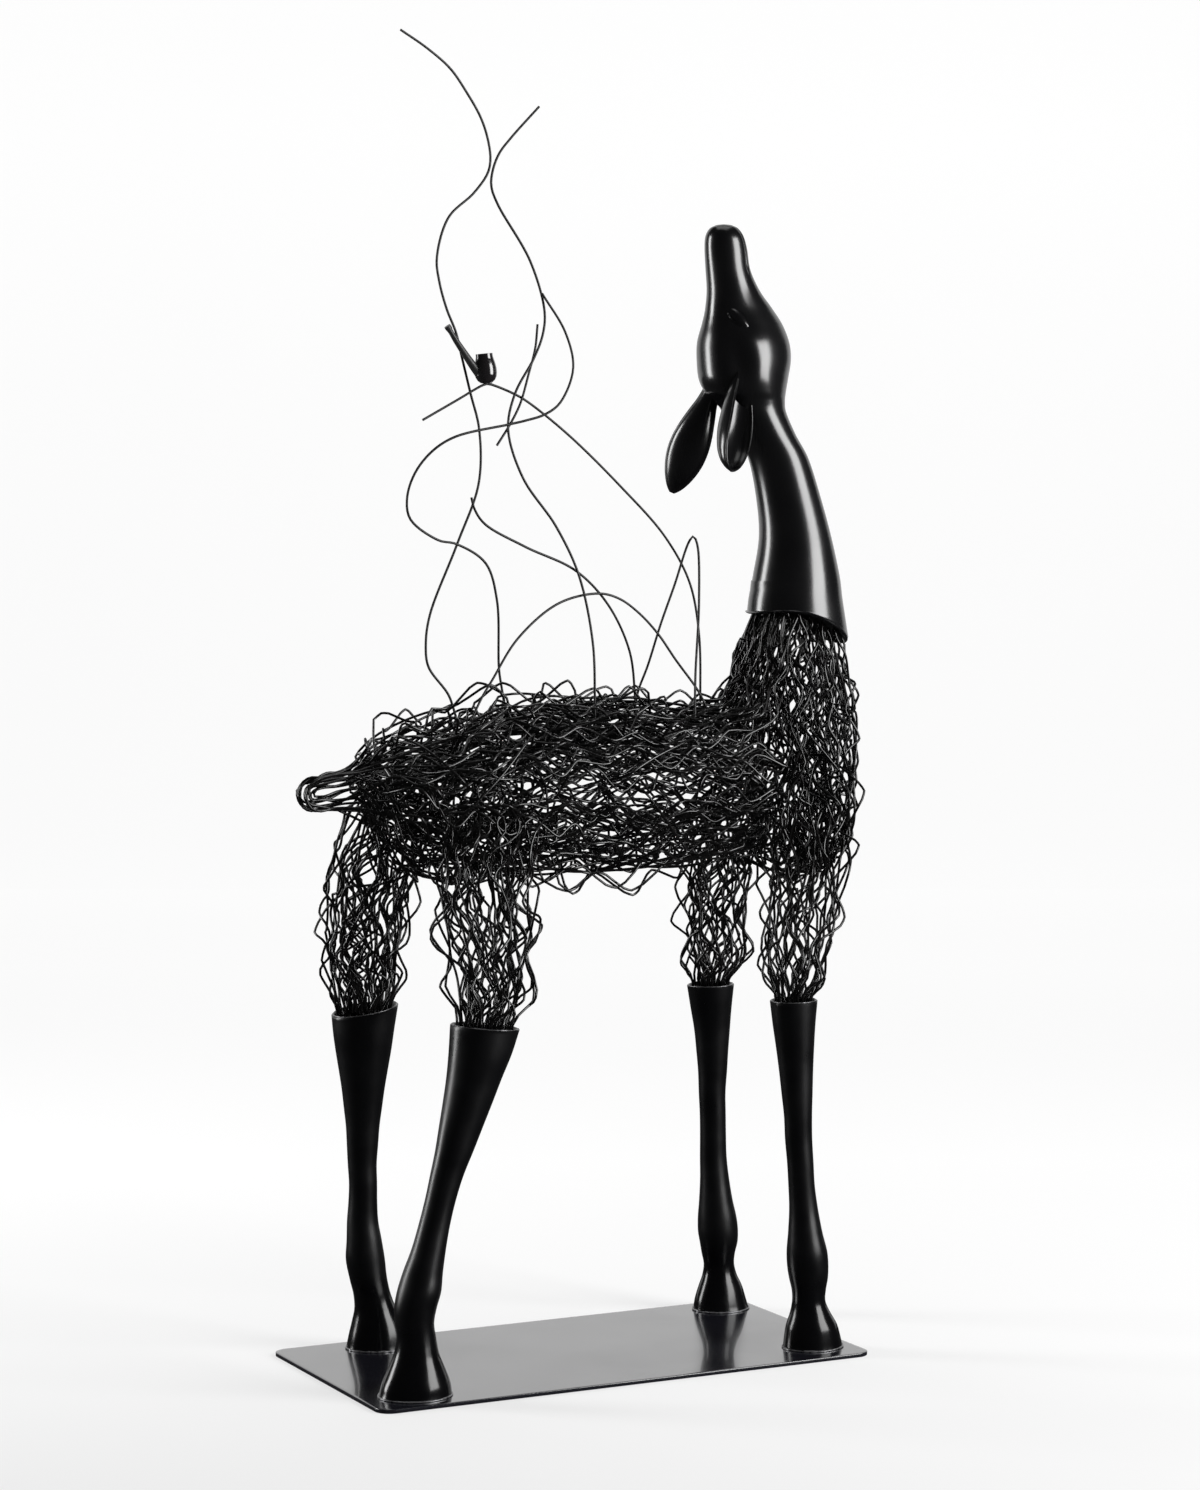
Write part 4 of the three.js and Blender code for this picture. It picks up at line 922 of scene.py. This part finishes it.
# Chest and lower neck, with the wires that turn from the neck into the back
def chest_wires():
    random = seeded(23)
    build = Build()
    for k in range(CHEST_WIRES):
        angle = 2 * math.pi * (k * GOLDEN_TURN % 1)
        behind = abs(apart(angle, math.pi)) < 1.05
        start = random.uniform(0.40, 0.66) if behind else random.uniform(-0.04, 0.2)
        end = random.uniform(1.02, 1.10) if k % 5 else random.uniform(0.75, 0.95)
        along = np.linspace(start, end, 40)
        angles = angle + swaying(random, along, 0.15) * np.clip((1.1 - along) * 3, 0.2, 1)
        share = depth_share(random, 0.4) + swaying(random, along[::-1], 0.03)
        axis, outward = on_chest(angles, along, tucked(share, 40, start_only=True) * 0.945)
        fade = np.clip((1.06 - along) / 0.16, 0.12, 1)
        height = WIRE["height"] * random.uniform(0.6, 1.0)
        crimped(build, axis, outward, random, random.normal(0, 0.4), height, WIRE["period"], fade)
    for k in range(SHOULDER_WIRES):
        side = random.uniform(-1.25, 1.25)
        share = depth_share(random, 0.55) * 0.95
        down = np.linspace(random.uniform(0.98, 1.10), random.uniform(0.72, 0.80), 6)
        back = np.linspace(random.uniform(0.80, 0.96), random.uniform(0.30, 0.68), 7)
        on_neck = on_chest(math.pi + side + random.uniform(-0.3, 0.3) * np.linspace(0, 1, 6), down, share)
        turned = math.pi / 2 + side * random.uniform(0.9, 1.3)
        turned = turned + random.uniform(-0.4, 0.4) * np.linspace(0, 1, 7)
        on_back = on_torso(turned, back, share)
        axis, outward = flowing(on_neck, on_back, 44)
        fade = np.clip(np.linspace(-0.1, 4, 44), 0.1, 1)
        height = WIRE["height"] * random.uniform(0.6, 1.0)
        crimped(build, axis, outward, random, random.normal(0, 0.4), height, WIRE["period"], fade)
    for _ in range(LOOSE_ON_CHEST):
        start = random.uniform(0.05, 0.6)
        along = np.linspace(start, start + random.uniform(0.25, 0.4), 20)
        angles = random.normal(0, 0.9) + swaying(random, along, 0.08)
        axis, outward = on_chest(angles, along, tucked(0.965, 20))
        crimped(build, axis, outward, random, random.uniform(0.2, 1.2), *LOOSE_CRIMPS["chest"])
    for _ in range(STRAIGHT_ON_CHEST):
        start = random.uniform(0.15, 0.75)
        along = np.linspace(start, start + random.uniform(0.12, 0.3), 12)
        start_angle = random.normal(0, 1.0)
        slant = random.choice([-1, 1]) * random.uniform(0.4, 1.3)
        angles = start_angle + slant * np.linspace(0, 1, 12)
        axis, _ = on_chest(angles + swaying(random, along, 0.05), along, tucked(0.975, 12))
        straight_strand(build, axis)
    return build.piece("chest_tangle", [WIRE_BLACK], ["chest_wires"])


# Upper leg, from its cup up into the body
def upper_leg_wires(name, leg, number):
    random = seeded(31 + number)
    build = Build()
    rim_height = leg["rim"][0]
    bottom = rim_height - CUP["depth"] + WIRE["radius"] + 0.003
    top = leg["wires"][-1][0]
    wires = UPPER_LEG_WIRES[name.split("_")[0]]
    for k in range(wires + LOOSE_ON_LEG):
        loose = k >= wires
        angle = 2 * math.pi * (k * GOLDEN_TURN % 1)
        reach = top - random.uniform(0.08, 0.2) if loose else top - random.uniform(0, 0.09)
        heights = np.linspace(bottom, reach, 40)
        rise = heights / 0.25
        free = np.clip((heights - rim_height) / 0.06, 0, 1)
        angles = angle + swaying(random, rise, 0.24) * free
        share = (1.03 if loose else depth_share(random, 0.3)) + swaying(random, rise, 0.035)
        leaning_in = 1 - 0.5 * np.clip((heights - reach + 0.07) / 0.07, 0, 1) ** 2
        share = np.minimum(share, 0.96 + 0.12 * free) * leaning_in
        axis, outward = on_upper_leg(leg, angles, heights, share)
        fade = np.clip((heights - rim_height - 0.002) / 0.03, 0, 1)
        height = 0.0130 if loose else WIRE["height"] * random.uniform(0.75, 1.1)
        roll = random.uniform(0.9, 2.2) if loose else random.normal(0, 0.45)
        crimped(build, axis, outward, random, roll, height, WIRE["period"] * random.uniform(1.0, 1.3), fade)
    return build.piece(f"upper_leg_tangle_{name}", [WIRE_BLACK], [f"upper_leg_wires_{name}"])


# Tail: nested hairpins
def tail_wires():
    random = seeded(53)
    build = Build()
    line = np.array(TAIL_UPPER + TAIL_TIP + TAIL_LOWER)
    for k in range(TAIL_LOOPS):
        scale = 1 - 0.72 * (k / TAIL_LOOPS) ** 2.6
        lower = np.arange(len(line)) > len(TAIL_UPPER) + 1
        inside = np.clip((line[:, 0] + 0.37) / 0.1, 0, 1) * random.uniform(0, 1) ** 1.5
        middle = TAIL_MIDDLE + np.where(lower, 0.040 * inside, 0)
        height = middle + (line[:, 1] - TAIL_MIDDLE) * scale
        x = line[:, 0] + (1 - scale) * 0.030 * np.clip((-0.25 - line[:, 0]) / 0.1, 0, 1)
        root = np.clip((line[:, 0] + 0.31) / 0.1, 0, 1.6)
        across = random.uniform(-1, 1) * TAIL_BREADTH
        height = height + root * random.uniform(-0.030, 0.022)
        y = MID_Y + across * (1 + 2.6 * root) + random.normal(0, 0.0016, len(line))
        shaken = height + random.normal(0, 0.0016, len(line)) * (1 + 3 * root)
        points = route(np.column_stack([x, y, shaken]), 0.006)
        straight_strand(build, points)
    return build.piece("tail_hairpins", [WIRE_BLACK], ["tail_wires"])


# One long bent wire on the back
def back_wire(name, points):
    build = Build()
    line = route(points, BACK_WIRE["step"])
    build.bar(line, carried(line), BACK_WIRE["radius"], BACK_WIRE["sides"])
    return build.piece(f"bent_{name}", [BACK_WIRE_BLACK], [name], 0.9)


# Pipe: turned bowl, stem with a small button, and the drop of glue under it
def pipe():
    build = Build()
    angles = np.arange(PIPE_SIDES) * 2 * math.pi / PIPE_SIDES
    cos, sin = math.cos(PIPE["tilt"]), math.sin(PIPE["tilt"])
    lean = np.array([[cos, -sin], [sin, cos]])
    rings = []
    for radius, height in PIPE["bowl"][1:-1]:
        x, z = radius * np.cos(angles), np.full(PIPE_SIDES, height)
        turned = np.column_stack([x, z]) @ lean.T
        y = PIPE["y"] + radius * np.sin(angles)
        rings.append(np.column_stack([PIPE["centre"][0] + turned[:, 0], y, PIPE["centre"][1] + turned[:, 1]]))
    build.skin(rings)
    stem = np.array(PIPE["stem"])
    by_index = track(np.column_stack([np.arange(len(stem)), stem]))
    fine = by_index(np.linspace(0, len(stem) - 1, 40))
    line = np.column_stack([fine[:, 0], np.full(40, PIPE["y"]), fine[:, 1]])
    build.bar(line, np.tile([0.0, 1.0, 0.0], (40, 1)), fine[:, 2], 20, 1)
    drop = []
    for t in np.linspace(-0.95, 0.95, 9):
        size = 0.0032 * math.sqrt(1 - t * t)
        x, y, z = PIPE["glue"]
        level = np.full(PIPE_SIDES, z + 0.002 * t)
        drop.append(np.column_stack([x + size * np.cos(angles), y + size * np.sin(angles), level]))
    build.skin(drop, 2)
    return build.piece("tobacco_pipe", [PIPE_GLOSS, STEM_SATIN, WELD_METAL], ["pipe"], 0.9)


base_plate()
for number, (name, leg) in enumerate(LEGS.items()):
    lower_leg(name, leg, number)
    upper_leg_wires(name, leg, number)
head_and_neck()
torso_wires()
chest_wires()
tail_wires()
for name, points in BACK_WIRES.items():
    back_wire(name, points)
pipe()


# Studio sheets with painted light: a grey base with an emission glow that brightens with the distance behind
# the object
def studio_painted_glow():
    material, nodes, links, shader = new_material("studio_painted_glow")
    place = nodes.new("ShaderNodeTexCoord")
    reach = nodes.new("ShaderNodeVectorMath")
    reach.operation = "DOT_PRODUCT"
    reach.inputs[1].default_value = (*forward_on_floor(), 0)
    links.new(place.outputs["Object"], reach.inputs[0])
    near, far = STUDIO_PAINTED_GLOW[0][0], STUDIO_PAINTED_GLOW[-1][0]
    share = ranged(nodes, links, reach.outputs["Value"], (near, far), (0, 1))
    glow = nodes.new("ShaderNodeValToRGB")
    stops = glow.color_ramp.elements
    for _ in STUDIO_PAINTED_GLOW[1:-1]:
        stops.new(0.5)
    for stop, (distance, strength) in zip(stops, STUDIO_PAINTED_GLOW):
        stop.position = (distance - near) / (far - near)
        stop.color = (strength, strength, strength, 1)
    links.new(share, glow.inputs["Fac"])
    # Painted light: the sheets glow by emission, more brightly further behind the object, in place of lamp
    # light on floor and wall
    links.new(glow.outputs["Color"], shader.inputs["Emission Strength"])
    cloud = noise_of(nodes, links, 0.6)
    links.new(mixed(nodes, links, cloud, (0.24, 0.24, 0.24), (0.26, 0.26, 0.26)), shader.inputs["Base Color"])
    shader.inputs["Emission Color"].default_value = (1, 1, 1, 1)
    shader.inputs["Roughness"].default_value = 0.9
    shader.inputs["Specular IOR Level"].default_value = 0.05
    return material


def forward_on_floor():
    yaw = math.radians(CAMERA["yaw"])
    return math.sin(yaw), math.cos(yaw)


# Broad sheet of the studio along a profile of [distance behind the object, height]
def sheet(name, profile, material):
    forward = np.array(forward_on_floor())
    sideward = np.array([forward[1], -forward[0]])
    points = []
    for reach, height in profile:
        for side in (-STUDIO["half_width"], STUDIO["half_width"]):
            points.append([*(forward * reach + sideward * side), height - STUDIO["drop"]])
    faces = [[2 * k, 2 * k + 1, 2 * k + 3, 2 * k + 2] for k in range(len(profile) - 1)]
    mesh = bpy.data.meshes.new(name)
    mesh.from_pydata(points, [], faces)
    mesh.polygons.foreach_set("use_smooth", [True] * len(faces))
    mesh.materials.append(material)
    thing = bpy.data.objects.new(name, mesh)
    bpy.context.scene.collection.objects.link(thing)
    return thing


# Pale floor that curves up into a pale wall, both pale mostly from their painted glow. The black pieces
# reflect the wall and not the floor.
def studio():
    white = studio_painted_glow()
    start, bend = STUDIO["bend_start"], STUDIO["bend"]
    floor = sheet("studio_floor", [[STUDIO["near"], 0.0], [start, 0.0]], white)
    floor.visible_glossy = False
    turns = np.linspace(0, math.pi / 2, 14)
    rise = [[start + bend * math.sin(a), bend - bend * math.cos(a)] for a in turns]
    sheet("studio_wall", rise + [[start + bend, STUDIO["top"]]], white)


# Soft box light that looks at a point
def soft_box(name, place, target, size, power):
    light = bpy.data.lights.new(name, "AREA")
    light.shape = "RECTANGLE"
    light.size, light.size_y = size
    light.energy = power
    lamp = bpy.data.objects.new(name, light)
    lamp.location = place
    lamp.rotation_mode = "QUATERNION"
    lamp.rotation_quaternion = (Vector(target) - Vector(place)).to_track_quat("-Z", "Y")
    bpy.context.scene.collection.objects.link(lamp)
    return lamp


def world_light(strength):
    world = bpy.data.worlds.new("studio_world")
    world.use_nodes = True
    world.node_tree.nodes["Background"].inputs["Color"].default_value = (1, 1, 1, 1)
    world.node_tree.nodes["Background"].inputs["Strength"].default_value = strength
    bpy.context.scene.world = world


def camera():
    data = bpy.data.cameras.new("camera")
    data.lens = CAMERA["lens"]
    data.sensor_width = CAMERA["sensor"]
    data.clip_end = 60
    eye = bpy.data.objects.new("camera", data)
    eye.location = CAMERA["place"]
    eye.rotation_euler = (math.radians(90 - CAMERA["pitch"]), 0, -math.radians(CAMERA["yaw"]))
    bpy.context.scene.collection.objects.link(eye)
    bpy.context.scene.camera = eye


studio()
world_light(STUDIO["world"])
for name, lamp in SOFT_BOXES.items():
    soft_box(name, **lamp)
camera()
bpy.context.scene.view_settings.view_transform = "Standard"
